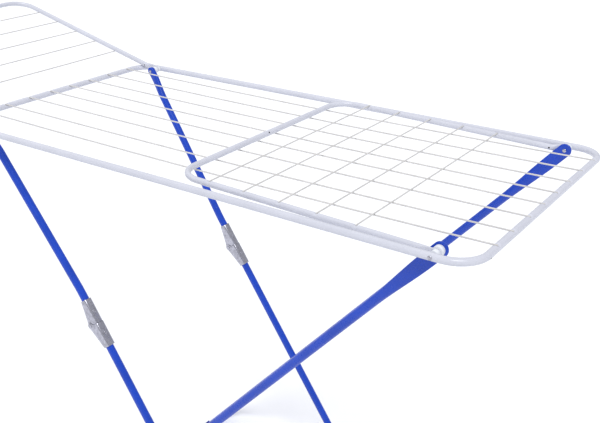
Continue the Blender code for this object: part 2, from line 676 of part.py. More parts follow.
def main():
    clear_scene()
    middle_x = (RIGHT_END_X + LEFT_END_X) / 2
    root = add_hinge_frame("centre_frame_plane", (middle_x, 0, FRAME_HEIGHT), (1, 0, 0), (0, 1, 0))
    add_centre_frame(root)
    add_centre_wires(root)

    fold, opened = WING_FOLDED_ANGLE, WING_OPEN_ANGLE
    right_wing = add_hinge_frame("right_wing_hinge", (RIGHT_PIVOT_X, 0, FRAME_HEIGHT),
                                 (-math.cos(fold), 0, math.sin(fold)), (0, 1, 0))
    left_wing = add_hinge_frame("left_wing_hinge", (LEFT_PIVOT_X, 0, FRAME_HEIGHT),
                                (-math.cos(opened), 0, math.sin(opened)), (0, -1, 0))
    add_wing("right_wing", right_wing)
    add_wing("left_wing", left_wing)

    right_along = Vector((-math.cos(RIGHT_LEG_SLOPE), 0, -math.sin(RIGHT_LEG_SLOPE)))
    left_along = Vector((math.cos(LEFT_LEG_SLOPE), 0, -math.sin(LEFT_LEG_SLOPE)))
    right_pivot = Vector((RIGHT_PIVOT_X, 0, FRAME_HEIGHT))
    left_pivot = Vector((LEFT_PIVOT_X, 0, FRAME_HEIGHT))
    right_legs = add_hinge_frame("right_leg_hinge", right_pivot, right_along, (0, 1, 0))
    left_legs = add_hinge_frame("left_leg_hinge", left_pivot, left_along, (0, -1, 0))
    knee_point = left_legs.matrix_world @ Vector((KNEE_AT, 0, KNEE_PIN_OFFSET))
    knees = add_hinge_frame("knee_hinge", knee_point, left_along, (0, -1, 0))
    add_right_legs(right_legs)
    add_left_lower_leg(knees)

    for side, side_name in ((-1, "front"), (1, "rear")):
        # The left legs' frames point their own Y axis to the front.
        add_left_upper_leg(f"left_upper_leg_{side_name}", -side, left_legs)
        add_pivot_stack(1, "right", side, side_name, root)
        add_pivot_stack(-1, "left", side, side_name, root)
        add_knee_pin(f"knee_pin_{side_name}", -side, left_legs)
        add_knee_channel(f"knee_upper_bracket_{side_name}", -side, knees, -1, UPPER_CHANNEL_HALF)
        add_knee_channel(f"knee_lower_bracket_{side_name}", -side, knees, 1, LOWER_CHANNEL_HALF)
        add_bracket_rivet(f"upper_bracket_rivet_{side_name}", -side, knees, -BRACKET_RIVET_FROM_KNEE)
        add_bracket_rivet(f"lower_bracket_rivet_{side_name}", -side, knees, BRACKET_RIVET_FROM_KNEE)
        add_crossing(side, side_name, right_legs, knees)
        right_foot = right_pivot + right_along * RIGHT_LEG_END
        left_foot = left_pivot + left_along * LEFT_LEG_END
        inset = FLOOR_BAR_CORNER_R + FOOT_FROM_CORNER
        add_foot(f"right_foot_{side_name}", right_foot.x, side * (RIGHT_LEG_Y - inset), right_legs)
        add_foot(f"left_foot_{side_name}", left_foot.x, side * (LEFT_LOWER_Y - inset), knees)


if __name__ == "__main__":
    main()
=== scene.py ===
"""Folding clothes drying rack: the visible surfaces of its tubes, wires, knees, rivets and feet.

Run as a script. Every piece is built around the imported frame, in metres, +Z up, floor at z = 0.
"""
import json
import math

import bmesh
import bpy
from bpy.props import FloatProperty, IntProperty, PointerProperty, StringProperty
from mathutils import Euler, Matrix, Vector


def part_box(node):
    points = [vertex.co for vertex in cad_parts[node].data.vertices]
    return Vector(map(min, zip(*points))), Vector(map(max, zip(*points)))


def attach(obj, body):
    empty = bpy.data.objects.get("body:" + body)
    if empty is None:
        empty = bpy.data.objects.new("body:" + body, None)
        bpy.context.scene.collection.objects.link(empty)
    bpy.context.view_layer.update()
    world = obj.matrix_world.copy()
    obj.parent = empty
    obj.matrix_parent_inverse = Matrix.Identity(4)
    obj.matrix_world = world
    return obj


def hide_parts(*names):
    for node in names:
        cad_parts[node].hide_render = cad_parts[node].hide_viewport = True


bl_info = {
    "name": "Clothes Drying Rack",
    "version": (1, 0, 0),
    "blender": (4, 5, 0),
    "location": "View3D > Sidebar > Drying Rack",
    "description": "Builds a winged clothes drying rack with folding legs",
    "category": "Add Mesh",
}

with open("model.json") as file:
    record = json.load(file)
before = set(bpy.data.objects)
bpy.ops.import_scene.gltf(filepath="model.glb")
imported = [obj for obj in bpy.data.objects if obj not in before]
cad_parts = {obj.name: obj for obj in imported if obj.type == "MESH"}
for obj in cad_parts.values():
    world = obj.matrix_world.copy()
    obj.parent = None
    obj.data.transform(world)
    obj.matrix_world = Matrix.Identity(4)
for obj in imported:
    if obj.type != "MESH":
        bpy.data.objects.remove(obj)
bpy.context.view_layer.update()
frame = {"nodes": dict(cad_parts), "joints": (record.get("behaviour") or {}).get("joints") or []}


def joint_place(name):
    """A joint's place at rest, from the frame."""
    for joint in frame["joints"]:
        if joint["name"] == name:
            return Vector(joint["pos_m"])
    raise RuntimeError(f"the frame has no joint {name}")


def node_size(node):
    low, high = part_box(node)
    return high - low


def node_centre(node):
    low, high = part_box(node)
    return (low + high) / 2


RIGHT_PIVOT = joint_place("right_leg_fold")
LEFT_PIVOT = joint_place("left_leg_fold")
KNEE_AXIS = joint_place("knee_fold")
FRAME_SIZE = node_size("centre_frame_tube")
FRAME_CENTRE = Vector((node_centre("centre_frame_tube").x, 0.0, RIGHT_PIVOT.z))
WIRE_COUNT = len([name for name in frame["nodes"] if name.startswith("centre_wire_")])
WING_WIRE_COUNT = len([name for name in frame["nodes"] if name.startswith("left_wing_wire_")])


# ---------------------------------------------------------------- sizes and colours

def length_property(name, description, default, smallest=-1.0):
    return FloatProperty(name=name, description=description, default=default, min=smallest, unit="LENGTH")


class RackSizes(bpy.types.PropertyGroup):
    """Driving sizes of the rack's tubes and wires."""
    frame_tube: length_property(
        "Frame tube", "Radius of the centre frame's tube",
        FRAME_SIZE.z / 2, 0.003)
    frame_corner: length_property(
        "Frame corner", "Bend radius at the centre frame's corners",
        0.048, 0.02)
    wing_tube: length_property("Wing tube", "Radius of the wings' tubes", 0.0055, 0.003)
    wing_corner: length_property("Wing corner", "Bend radius at the wings' corners", 0.047, 0.02)
    wing_reach: length_property(
        "Wing reach", "From a wing's pivot to the centre of its end tube",
        0.4828, 0.1)
    wing_half_width: length_property(
        "Wing half width", "From the rack's middle to the centre of a wing's side tube",
        0.2555, 0.1)
    wing_rise: length_property(
        "Wing rise", "Height of a wing tube's axis over its pivot when it stands open",
        0.0024)
    wing_open: FloatProperty(
        name="Wing open angle", description="Slope of an open wing", default=math.radians(13.8),
        subtype="ANGLE")
    wing_folded: FloatProperty(
        name="Wing folded angle", description="Slope of a folded wing that lies on the wires",
        default=math.radians(1.43), subtype="ANGLE")
    leg_tube: length_property("Leg tube", "Radius of the legs' tubes", 0.008, 0.003)
    right_slope: FloatProperty(
        name="Right leg slope", description="Slope of the right legs", default=math.radians(47.8),
        subtype="ANGLE")
    left_slope: FloatProperty(
        name="Left leg slope", description="Slope of the left legs", default=math.radians(55.88),
        subtype="ANGLE")
    leg_y: length_property("Leg spread", "From the rack's middle to the right legs' axes", 0.241)
    upper_leg_y: length_property(
        "Upper leg spread", "From the rack's middle to the left upper legs' axes",
        0.238)
    lower_leg_y: length_property(
        "Lower leg spread", "From the rack's middle to the left lower legs' axes",
        0.2215)
    floor_bar: length_property("Floor bar height", "Height of the floor bars' axes", 0.0115)
    floor_corner: length_property(
        "Floor bar corner", "Bend radius between a leg and its floor bar",
        0.060)
    knee_reach: length_property("Knee reach", "From the left pivot to the knee, along the leg", 0.46012)
    knee_pin_offset: length_property("Knee pin offset", "Of a knee's pin outside the leg's axis", 0.0135)
    wire: length_property("Wire", "Radius of the long drying wires", 0.0014)
    wire_rest: length_property(
        "Wire rest", "Height of the long wires' ends over the frame's centre plane",
        0.0044)
    wire_sag: length_property("Wire sag", "How far the long wires hang in the middle", 0.005)
    wing_wire: length_property("Wing wire", "Radius of the wings' wires", 0.00125)
    wing_wire_depth: length_property(
        "Wing wire depth", "From a wing tube's axis down to the wires of an open wing",
        0.0044)
    wing_wire_first: length_property("First wing wire", "From a wing's pivot to its first wire", 0.1332)
    wing_wire_pitch: length_property("Wing wire pitch", "Between a wing's wires", 0.0695)
    tube_sides: IntProperty(
        name="Tube sides", description="Faces round a tube", default=32, min=12, max=64)


def hex_property(name, description, default):
    return StringProperty(name=name, description=description, default=default)


class RackColours(bpy.types.PropertyGroup):
    """sRGB colours of the rack's finishes."""
    frame_coat: hex_property("Frame coat", "Powder coat of the frame and the wings", "#CACCD6")
    wire_coat: hex_property("Wire coat", "Dipped coat of the drying wires", "#D0CECB")
    leg_coat: hex_property("Leg coat", "Powder coat of the legs", "#0840B8")
    zinc: hex_property("Zinc", "Zinc plate on brackets and rivets", "#BFBFCA")
    spacer: hex_property("Spacer", "Moulded spacers at the pivots", "#E6E9EE")
    foot: hex_property("Foot", "Moulded feet", "#1E3A93")
    floor: hex_property("Floor", "Studio floor", "#F7F8FA")


def sizes():
    return bpy.context.scene.rack_sizes


def colours():
    return bpy.context.scene.rack_colours


def linear(hex_colour):
    """An sRGB hex colour as linear RGBA."""
    channels = [int(hex_colour[k:k + 2], 16) / 255 for k in (1, 3, 5)]
    turned = [c / 12.92 if c <= 0.04045 else ((c + 0.055) / 1.055) ** 2.4 for c in channels]
    return (*turned, 1.0)


# ---------------------------------------------------------------- node helper

def add_node(tree, kind, inputs=None, **settings):
    """Add a node, set its properties, and set or link its inputs."""
    made = tree.nodes.new(kind)
    for name, value in settings.items():
        setattr(made, name, value)
    for name, value in (inputs or {}).items():
        if isinstance(value, bpy.types.NodeSocket):
            tree.links.new(value, made.inputs[name])
        else:
            made.inputs[name].default_value = value
    return made


# ---------------------------------------------------------------- materials

def start_material(name):
    """A new material with only its output, and the piece's own coordinates."""
    material = bpy.data.materials.new(name)
    material.use_nodes = True
    tree = material.node_tree
    tree.nodes.clear()
    coordinates = add_node(tree, "ShaderNodeTexCoord").outputs["Object"]
    return material, tree, coordinates


def finish_material(tree, shader):
    add_node(tree, "ShaderNodeOutputMaterial", {"Surface": shader.outputs["BSDF"]})


def noise(tree, coordinates, size, detail=2.0, roughness=0.5):
    """Noise whose grains are about size metres across."""
    return add_node(tree, "ShaderNodeTexNoise",
                    {"Vector": coordinates, "Scale": 1 / size, "Detail": detail, "Roughness": roughness})


def spread(tree, value, low, high, to_low, to_high):
    return add_node(tree, "ShaderNodeMapRange",
                    {"Value": value, "From Min": low, "From Max": high, "To Min": to_low,
                     "To Max": to_high}).outputs["Result"]


def two_tone(tree, factor, first, second):
    return add_node(tree, "ShaderNodeMix", {"Factor": factor, "A": first, "B": second},
                    data_type="RGBA").outputs["Result"]


def darker(colour, amount):
    return (*(channel * amount for channel in colour[:3]), 1.0)


def powder_coat(name, hex_colour, roughness, peel, dust):
    """Powder coat baked on steel tube: even and satin, with a fine orange peel and faint dust."""
    material, tree, coordinates = start_material(name)
    base = linear(hex_colour)
    cloud = noise(tree, coordinates, 0.045, 3.0)
    tone = two_tone(tree, spread(tree, cloud.outputs["Fac"], 0.35, 0.7, 0.0, 1.0), base, darker(base, dust))
    # Orange peel is about 1.5 mm across and a few microns deep.
    peel_noise = noise(tree, coordinates, 0.0015, 1.0)
    bump = add_node(tree, "ShaderNodeBump", {"Height": peel_noise.outputs["Fac"], "Strength": peel,
                                             "Distance": 0.00012})
    smear = noise(tree, coordinates, 0.012, 4.0)
    gloss = spread(tree, smear.outputs["Fac"], 0.3, 0.7, roughness - 0.05, roughness + 0.07)
    shader = add_node(tree, "ShaderNodeBsdfPrincipled",
                      {"Base Color": tone, "Roughness": gloss, "IOR": 1.48, "Normal": bump.outputs["Normal"]})
    finish_material(tree, shader)
    return material


def dipped_wire_coat():
    """Thermoplastic dip on steel wire: smooth, softly uneven along the wire."""
    material, tree, coordinates = start_material("wire_dip_coat")
    base = linear(colours().wire_coat)
    runs = noise(tree, coordinates, 0.020, 3.0)
    tone = two_tone(tree, spread(tree, runs.outputs["Fac"], 0.3, 0.7, 0.0, 1.0), base, darker(base, 0.86))
    ripple = noise(tree, coordinates, 0.004, 1.0)
    bump = add_node(tree, "ShaderNodeBump", {"Height": ripple.outputs["Fac"], "Strength": 0.35,
                                             "Distance": 0.0001})
    shader = add_node(tree, "ShaderNodeBsdfPrincipled",
                      {"Base Color": tone, "Roughness": 0.42, "IOR": 1.48, "Normal": bump.outputs["Normal"]})
    finish_material(tree, shader)
    return material


def zinc_plate():
    """Bright zinc plate on pressed steel: grey metal, fine rolling lines and cloudy patches."""
    material, tree, coordinates = start_material("zinc_plated_steel")
    base = linear(colours().zinc)
    patches = noise(tree, coordinates, 0.006, 4.0, 0.65)
    tone = two_tone(tree, spread(tree, patches.outputs["Fac"], 0.35, 0.68, 0.0, 1.0), base,
                    darker(base, 0.66))
    stretched = add_node(tree, "ShaderNodeMapping", {"Vector": coordinates, "Scale": (1.0, 1.0, 0.08)})
    # Rolling lines are about 0.3 mm apart.
    lines = noise(tree, stretched.outputs["Vector"], 0.0003, 2.0)
    bump = add_node(tree, "ShaderNodeBump", {"Height": lines.outputs["Fac"], "Strength": 0.25,
                                             "Distance": 0.00005})
    gloss = spread(tree, patches.outputs["Fac"], 0.3, 0.7, 0.16, 0.34)
    shader = add_node(tree, "ShaderNodeBsdfPrincipled",
                      {"Base Color": tone, "Metallic": 1.0, "Roughness": gloss,
                       "Normal": bump.outputs["Normal"]})
    finish_material(tree, shader)
    return material


def moulded_plastic(name, hex_colour, roughness):
    """Injection-moulded polypropylene: matt, with a fine spark-eroded grain."""
    material, tree, coordinates = start_material(name)
    base = linear(hex_colour)
    scuff = noise(tree, coordinates, 0.009, 4.0)
    tone = two_tone(tree, spread(tree, scuff.outputs["Fac"], 0.4, 0.75, 0.0, 1.0), base, darker(base, 0.9))
    # The mould's grain is about 0.25 mm.
    grain = noise(tree, coordinates, 0.00025, 2.0)
    bump = add_node(tree, "ShaderNodeBump", {"Height": grain.outputs["Fac"], "Strength": 0.3,
                                             "Distance": 0.00006})
    shader = add_node(tree, "ShaderNodeBsdfPrincipled",
                      {"Base Color": tone, "Roughness": roughness, "IOR": 1.49,
                       "Normal": bump.outputs["Normal"]})
    finish_material(tree, shader)
    return material


def paint_hole_shade():
    """The uncoated inside of a drilled hole: dull steel painted near black as painted shade, standing for the
    dark hollow that the solid tube lacks.
    """
    material, tree, coordinates = start_material("painted_hole_shade")
    # Painted shade: the near-black colour and its darker mottle stand for the shadow inside a hollow tube;
    # the tube here is solid.
    shade_mottle = noise(tree, coordinates, 0.0012, 3.0)
    base = linear("#2A2B30")
    tone = two_tone(tree, shade_mottle.outputs["Fac"], base, darker(base, 0.5))
    shader = add_node(tree, "ShaderNodeBsdfPrincipled",
                      {"Base Color": tone, "Metallic": 0.3, "Roughness": 0.7})
    finish_material(tree, shader)
    return material


def painted_floor():
    """Matt white studio paint: no shine, and a hardly visible mottle."""
    material, tree, coordinates = start_material("matt_studio_paint")
    base = linear(colours().floor)
    mottle = noise(tree, coordinates, 0.4, 2.0)
    tone = two_tone(tree, mottle.outputs["Fac"], base, darker(base, 0.99))
    shader = add_node(tree, "ShaderNodeBsdfPrincipled",
                      {"Base Color": tone, "Roughness": 0.9, "Specular IOR Level": 0.1})
    finish_material(tree, shader)
    return material


MAKERS = {
    "frame_powder_coat": lambda: powder_coat("frame_powder_coat", colours().frame_coat, 0.26, 0.4, 0.95),
    "leg_powder_coat": lambda: powder_coat("leg_powder_coat", colours().leg_coat, 0.27, 0.4, 0.84),
    "wire_dip_coat": dipped_wire_coat,
    "zinc_plated_steel": zinc_plate,
    "spacer_polypropylene": lambda: moulded_plastic("spacer_polypropylene", colours().spacer, 0.45),
    "foot_polypropylene": lambda: moulded_plastic("foot_polypropylene", colours().foot, 0.5),
    "painted_hole_shade": paint_hole_shade,
    "matt_studio_paint": painted_floor,
}


def material_named(name):
    return bpy.data.materials.get(name) or MAKERS[name]()


# ---------------------------------------------------------------- axes and routes

def piece_axes(origin, along, across):
    """Local X along a piece, local Y across it, local Z its normal."""
    along = Vector(along).normalized()
    across = Vector(across).normalized()
    turn = Matrix((along, across, along.cross(across))).transposed().to_4x4()
    return Matrix.Translation(origin) @ turn


def frame_axes():
    return piece_axes(FRAME_CENTRE, (1, 0, 0), (0, 1, 0))


def right_wing_axes():
    slope = sizes().wing_folded
    return piece_axes(RIGHT_PIVOT, (-math.cos(slope), 0, math.sin(slope)), (0, 1, 0))


def left_wing_axes():
    slope = sizes().wing_open
    return piece_axes(LEFT_PIVOT, (-math.cos(slope), 0, math.sin(slope)), (0, -1, 0))


def right_leg_axes():
    slope = sizes().right_slope
    return piece_axes(RIGHT_PIVOT, (-math.cos(slope), 0, -math.sin(slope)), (0, 1, 0))


def left_leg_axes():
    slope = sizes().left_slope
    return piece_axes(LEFT_PIVOT, (math.cos(slope), 0, -math.sin(slope)), (0, -1, 0))


def knee_axes():
    return Matrix.Translation(KNEE_AXIS - LEFT_PIVOT) @ left_leg_axes()


def straight(start, stop):
    start, stop = Vector(start), Vector(stop)
    return (stop - start).length, lambda t: start.lerp(stop, t), False


def bend(centre, radius, start, stop):
    centre = Vector(centre)

    def place(t):
        turn = start + (stop - start) * t
        return centre + Vector((radius * math.cos(turn), radius * math.sin(turn)))

    return abs(stop - start) * radius, place, True


def open_route(start_u, reach, half_width, corner):
    """A U: out along one side, round two bends and back along the other side."""
    u, v = reach - corner, half_width - corner
    return [straight((start_u, -half_width), (u, -half_width)),
            bend((u, -v), corner, -math.pi / 2, 0),
            straight((reach, -v), (reach, v)),
            bend((u, v), corner, 0, math.pi / 2),
            straight((u, half_width), (start_u, half_width))]


def closed_route(half_length, half_width, corner):
    """A rounded rectangle, counter-clockwise from the middle of its right end."""
    u, v = half_length - corner, half_width - corner
    quarter = math.pi / 2
    parts = []
    corners = (((u, v), (half_length, -v)), ((-u, v), (u, half_width)),
               ((-u, -v), (-half_length, v)), ((u, -v), (-u, -half_width)))
    for k, (centre, side_start) in enumerate(corners):
        turn = k * quarter
        bend_start = Vector(centre) + corner * Vector((math.cos(turn), math.sin(turn)))
        parts += [straight(side_start, bend_start), bend(centre, corner, turn, turn + quarter)]
    return parts


COARSE_STEP = 0.045
BEND_STEP = 0.0035
FINE_STEP = 0.0008


def walk(route, fine_spots=(), fine_reach=0.007, fine_step=FINE_STEP):
    """Points along a route, close together in its bends and round each fine spot."""
    points = []
    for length, place, curved in route:
        step = BEND_STEP if curved else COARSE_STEP
        count = max(1, math.ceil(length / step))
        stops = {k / count for k in range(count)}
        for spot in fine_spots:
            nearest = min(range(201), key=lambda k: (place(k / 200) - spot).length) / 200
            if (place(nearest) - spot).length > length / 200 + 0.001:
                continue
            for k in range(-math.floor(fine_reach / fine_step), math.floor(fine_reach / fine_step) + 1):
                t = nearest + k * fine_step / length
                if 0 <= t < 1:
                    stops.add(t)
        kept = []
        for t in sorted(stops):
            if not kept or (t - kept[-1]) * length > fine_step * 0.6:
                kept.append(t)
        points += [place(t) for t in kept]
    return points


def ease(value, low, high):
    """0 below low, 1 above high, and a soft change between."""
    t = min(max((value - low) / (high - low), 0.0), 1.0)
    return t * t * (3 - 2 * t)


# ---------------------------------------------------------------- geometry node trees

def start_tree(name, sockets):
    """A geometry node tree with named inputs, its input node and its output node."""
    tree = bpy.data.node_groups.new(name, "GeometryNodeTree")
    tree.interface.new_socket("Geometry", in_out="OUTPUT", socket_type="NodeSocketGeometry")
    tree.interface.new_socket("Geometry", in_out="INPUT", socket_type="NodeSocketGeometry")
    for socket_name, kind in sockets:
        tree.interface.new_socket(socket_name, in_out="INPUT", socket_type=f"NodeSocket{kind}")
    given = add_node(tree, "NodeGroupInput").outputs
    return tree, given


def finish_tree(tree, geometry, material):
    """Realize what is instanced, shade it smooth and give it its material."""
    real = add_node(tree, "GeometryNodeRealizeInstances", {"Geometry": geometry})
    smooth = add_node(tree, "GeometryNodeSetShadeSmooth", {"Geometry": real.outputs["Geometry"]})
    coated = add_node(tree, "GeometryNodeSetMaterial",
                      {"Geometry": smooth.outputs["Geometry"], "Material": material})
    add_node(tree, "NodeGroupOutput", {"Geometry": coated.outputs["Geometry"]})


def vector_math(tree, operation, *values):
    made = add_node(tree, "ShaderNodeVectorMath", operation=operation)
    for socket, value in zip(made.inputs, values):
        if isinstance(value, bpy.types.NodeSocket):
            tree.links.new(value, socket)
        else:
            socket.default_value = value
    return made.outputs["Value"] if operation in ("DOT_PRODUCT", "LENGTH") else made.outputs["Vector"]


def scaled(tree, vector, factor):
    return add_node(tree, "ShaderNodeVectorMath", {"Vector": vector, "Scale": factor},
                    operation="SCALE").outputs["Vector"]


def number(tree, operation, *values):
    made = add_node(tree, "ShaderNodeMath", operation=operation)
    for socket, value in zip(made.inputs, values):
        if isinstance(value, bpy.types.NodeSocket):
            tree.links.new(value, socket)
        else:
            socket.default_value = value
    return made.outputs["Value"]


def named_value(tree, name, kind="FLOAT"):
    return add_node(tree, "GeometryNodeInputNamedAttribute", {"Name": name}, data_type=kind).outputs[0]


def squared_off(tree, offset, radius, scale, squareness):
    """offset on a circle of that radius, stretched by scale and pushed out towards a flat side."""
    share = number(tree, "DIVIDE", number(tree, "ABSOLUTE", offset), radius)
    pushed = number(tree, "POWER", share, squareness)
    signed = number(tree, "MULTIPLY", pushed, number(tree, "SIGN", offset))
    return number(tree, "MULTIPLY", number(tree, "MULTIPLY", signed, radius), scale)


def pressed_tube_tree():
    """A round tube along a path: pressed flat where the path says, and dented under crossing wires."""
    existing = bpy.data.node_groups.get("Pressed tube")
    if existing:
        return existing
    tree, given = start_tree("Pressed tube", (
        ("Radius", "Float"), ("Sides", "Int"), ("Flat Axis", "Vector"), ("Pressed By", "Object"),
        ("Press Depth", "Float"), ("Press Reach", "Float"), ("Material", "Material")))
    curve = add_node(tree, "GeometryNodeMeshToCurve", {"Mesh": given["Geometry"]})
    here = add_node(tree, "GeometryNodeInputPosition").outputs["Position"]
    marked = add_node(tree, "GeometryNodeStoreNamedAttribute",
                      {"Geometry": curve.outputs["Curve"], "Name": "section_centre", "Value": here},
                      data_type="FLOAT_VECTOR", domain="POINT")
    circle = add_node(tree, "GeometryNodeCurvePrimitiveCircle",
                      {"Radius": given["Radius"], "Resolution": given["Sides"]}, mode="RADIUS")
    tube = add_node(tree, "GeometryNodeCurveToMesh",
                    {"Curve": marked.outputs["Geometry"], "Profile Curve": circle.outputs["Curve"],
                     "Fill Caps": True})
    centre = named_value(tree, "section_centre", "FLOAT_VECTOR")
    axis = given["Flat Axis"]
    offset = vector_math(tree, "SUBTRACT", here, centre)
    rise = vector_math(tree, "DOT_PRODUCT", offset, axis)
    sideways = vector_math(tree, "SUBTRACT", offset, scaled(tree, axis, rise))
    side_length = vector_math(tree, "LENGTH", sideways)
    side_way = vector_math(tree, "NORMALIZE", sideways)
    squareness = named_value(tree, "squareness")
    new_side = squared_off(tree, side_length, given["Radius"], named_value(tree, "across_scale"), squareness)
    new_rise = squared_off(tree, rise, given["Radius"], named_value(tree, "normal_scale"), 1.0)
    moved = vector_math(tree, "ADD", centre, vector_math(
        tree, "ADD", scaled(tree, side_way, new_side), scaled(tree, axis, new_rise)))
    flattened = add_node(tree, "GeometryNodeSetPosition",
                         {"Geometry": tube.outputs["Mesh"], "Position": moved})
    wires = add_node(tree, "GeometryNodeObjectInfo", {"Object": given["Pressed By"]})
    near = add_node(tree, "GeometryNodeProximity", {0: wires.outputs["Geometry"]}, target_element="EDGES")
    share = number(tree, "DIVIDE", near.outputs["Distance"], given["Press Reach"])
    depth = add_node(tree, "ShaderNodeMapRange",
                     {"Value": share, "From Min": 0.0, "From Max": 1.0, "To Min": 1.0, "To Max": 0.0},
                     interpolation_type="SMOOTHERSTEP").outputs["Result"]
    push = scaled(tree, axis, number(tree, "MULTIPLY", depth, given["Press Depth"]))
    dented = add_node(tree, "GeometryNodeSetPosition",
                      {"Geometry": flattened.outputs["Geometry"], "Offset": push})
    finish_tree(tree, dented.outputs["Geometry"], given["Material"])
    return tree


def hanging_wire_tree():
    """A round wire for every edge. It hangs a little, strays a little, and ends in a weld bead."""
    existing = bpy.data.node_groups.get("Hanging wires")
    if existing:
        return existing
    tree, given = start_tree("Hanging wires", (
        ("Radius", "Float"), ("Sag", "Float"), ("Stray", "Float"), ("Steps", "Int"), ("Seed", "Float"),
        ("Bead Size", "Vector"), ("Bead Turn", "Rotation"), ("Material", "Material")))
    curve = add_node(tree, "GeometryNodeMeshToCurve", {"Mesh": given["Geometry"]})
    evened = add_node(tree, "GeometryNodeResampleCurve",
                      {"Curve": curve.outputs["Curve"], "Count": given["Steps"]})
    along = add_node(tree, "GeometryNodeSplineParameter").outputs["Factor"]
    rest = number(tree, "SUBTRACT", 1.0, along)
    arch = number(tree, "MULTIPLY", number(tree, "MULTIPLY", along, rest), 4.0)
    drop = number(tree, "MULTIPLY", number(tree, "MULTIPLY", arch, given["Sag"]), -1.0)
    here = add_node(tree, "GeometryNodeInputPosition").outputs["Position"]
    wander = add_node(tree, "ShaderNodeTexNoise", {"Vector": here, "W": given["Seed"], "Scale": 5.0,
                                                   "Detail": 1.0}, noise_dimensions="4D")
    stray = vector_math(tree, "SUBTRACT", wander.outputs["Color"], (0.5, 0.5, 0.5))
    stray = scaled(tree, stray, number(tree, "MULTIPLY", arch, given["Stray"]))
    fall = add_node(tree, "ShaderNodeCombineXYZ", {"Z": drop}).outputs["Vector"]
    hung = add_node(tree, "GeometryNodeSetPosition",
                    {"Geometry": evened.outputs["Curve"], "Offset": vector_math(tree, "ADD", stray, fall)})
    circle = add_node(tree, "GeometryNodeCurvePrimitiveCircle",
                      {"Radius": given["Radius"], "Resolution": 12}, mode="RADIUS")
    wires = add_node(tree, "GeometryNodeCurveToMesh",
                     {"Curve": hung.outputs["Geometry"], "Profile Curve": circle.outputs["Curve"],
                      "Fill Caps": True})
    ends = add_node(tree, "GeometryNodeMeshToPoints", {"Mesh": given["Geometry"]})
    ball = add_node(tree, "GeometryNodeMeshUVSphere", {"Segments": 16, "Rings": 10, "Radius": 1.0})
    beads = add_node(tree, "GeometryNodeInstanceOnPoints",
                     {"Points": ends.outputs["Points"], "Instance": ball.outputs["Mesh"],
                      "Rotation": given["Bead Turn"], "Scale": given["Bead Size"]})
    both = add_node(tree, "GeometryNodeJoinGeometry")
    tree.links.new(wires.outputs["Mesh"], both.inputs["Geometry"])
    tree.links.new(beads.outputs["Instances"], both.inputs["Geometry"])
    finish_tree(tree, both.outputs["Geometry"], given["Material"])
    return tree


def rivet_tree():
    """A rivet on every point: a domed head that faces the way the point says, and its shank behind."""
    existing = bpy.data.node_groups.get("Rivets")
    if existing:
        return existing
    tree, given = start_tree("Rivets", (
        ("Head Radius", "Float"), ("Head Height", "Float"), ("Shank Radius", "Float"),
        ("Material", "Material")))
    facing = named_value(tree, "facing", "FLOAT_VECTOR")
    turn = add_node(tree, "FunctionNodeAlignRotationToVector", {"Vector": facing}, axis="Z")
    # The head is the top half of a flattened ball on a flat base.
    ball = add_node(tree, "GeometryNodeMeshUVSphere", {"Segments": 28, "Rings": 20, "Radius": 1.0})
    here = add_node(tree, "GeometryNodeInputPosition").outputs["Position"]
    parts = add_node(tree, "ShaderNodeSeparateXYZ", {"Vector": here}).outputs
    up = number(tree, "MAXIMUM", parts["Z"], 0.0)
    shape = add_node(tree, "ShaderNodeCombineXYZ", {"X": parts["X"], "Y": parts["Y"], "Z": up})
    dome = add_node(tree, "GeometryNodeSetPosition",
                    {"Geometry": ball.outputs["Mesh"], "Position": shape.outputs["Vector"]})
    dome = add_node(tree, "GeometryNodeMergeByDistance",
                    {"Geometry": dome.outputs["Geometry"], "Distance": 0.0001})
    head_size = add_node(tree, "ShaderNodeCombineXYZ",
                         {"X": given["Head Radius"], "Y": given["Head Radius"], "Z": given["Head Height"]})
    heads = add_node(tree, "GeometryNodeInstanceOnPoints",
                     {"Points": given["Geometry"], "Instance": dome.outputs["Geometry"],
                      "Rotation": turn.outputs["Rotation"], "Scale": head_size.outputs["Vector"]})
    rod = add_node(tree, "GeometryNodeMeshCylinder", {"Vertices": 24, "Radius": 1.0, "Depth": 1.0})
    hung_rod = add_node(tree, "GeometryNodeTransform",
                        {"Geometry": rod.outputs["Mesh"], "Translation": (0.0, 0.0, -0.5)})
    shank_size = add_node(tree, "ShaderNodeCombineXYZ",
                          {"X": given["Shank Radius"], "Y": given["Shank Radius"],
                           "Z": named_value(tree, "shank")})
    shanks = add_node(tree, "GeometryNodeInstanceOnPoints",
                      {"Points": given["Geometry"], "Instance": hung_rod.outputs["Geometry"],
                       "Rotation": turn.outputs["Rotation"], "Scale": shank_size.outputs["Vector"]})
    both = add_node(tree, "GeometryNodeJoinGeometry")
    tree.links.new(heads.outputs["Instances"], both.inputs["Geometry"])
    tree.links.new(shanks.outputs["Instances"], both.inputs["Geometry"])
    finish_tree(tree, both.outputs["Geometry"], given["Material"])
    return tree


# ---------------------------------------------------------------- making pieces

def link_mesh(name, mesh):
    item = bpy.data.objects.new(name, mesh)
    bpy.context.scene.collection.objects.link(item)
    return item


def lines_mesh(name, points, edges, attributes=None):
    """A mesh of points and edges with named values on its points."""
    mesh = bpy.data.meshes.new(name)
    mesh.from_pydata([tuple(point) for point in points], edges, [])
    for label, values in (attributes or {}).items():
        is_vector = isinstance(values[0], (Vector, tuple))
        layer = mesh.attributes.new(label, "FLOAT_VECTOR" if is_vector else "FLOAT", "POINT")
        flat = [channel for value in values for channel in value] if is_vector else values
        layer.data.foreach_set("vector" if is_vector else "value", flat)
    return mesh


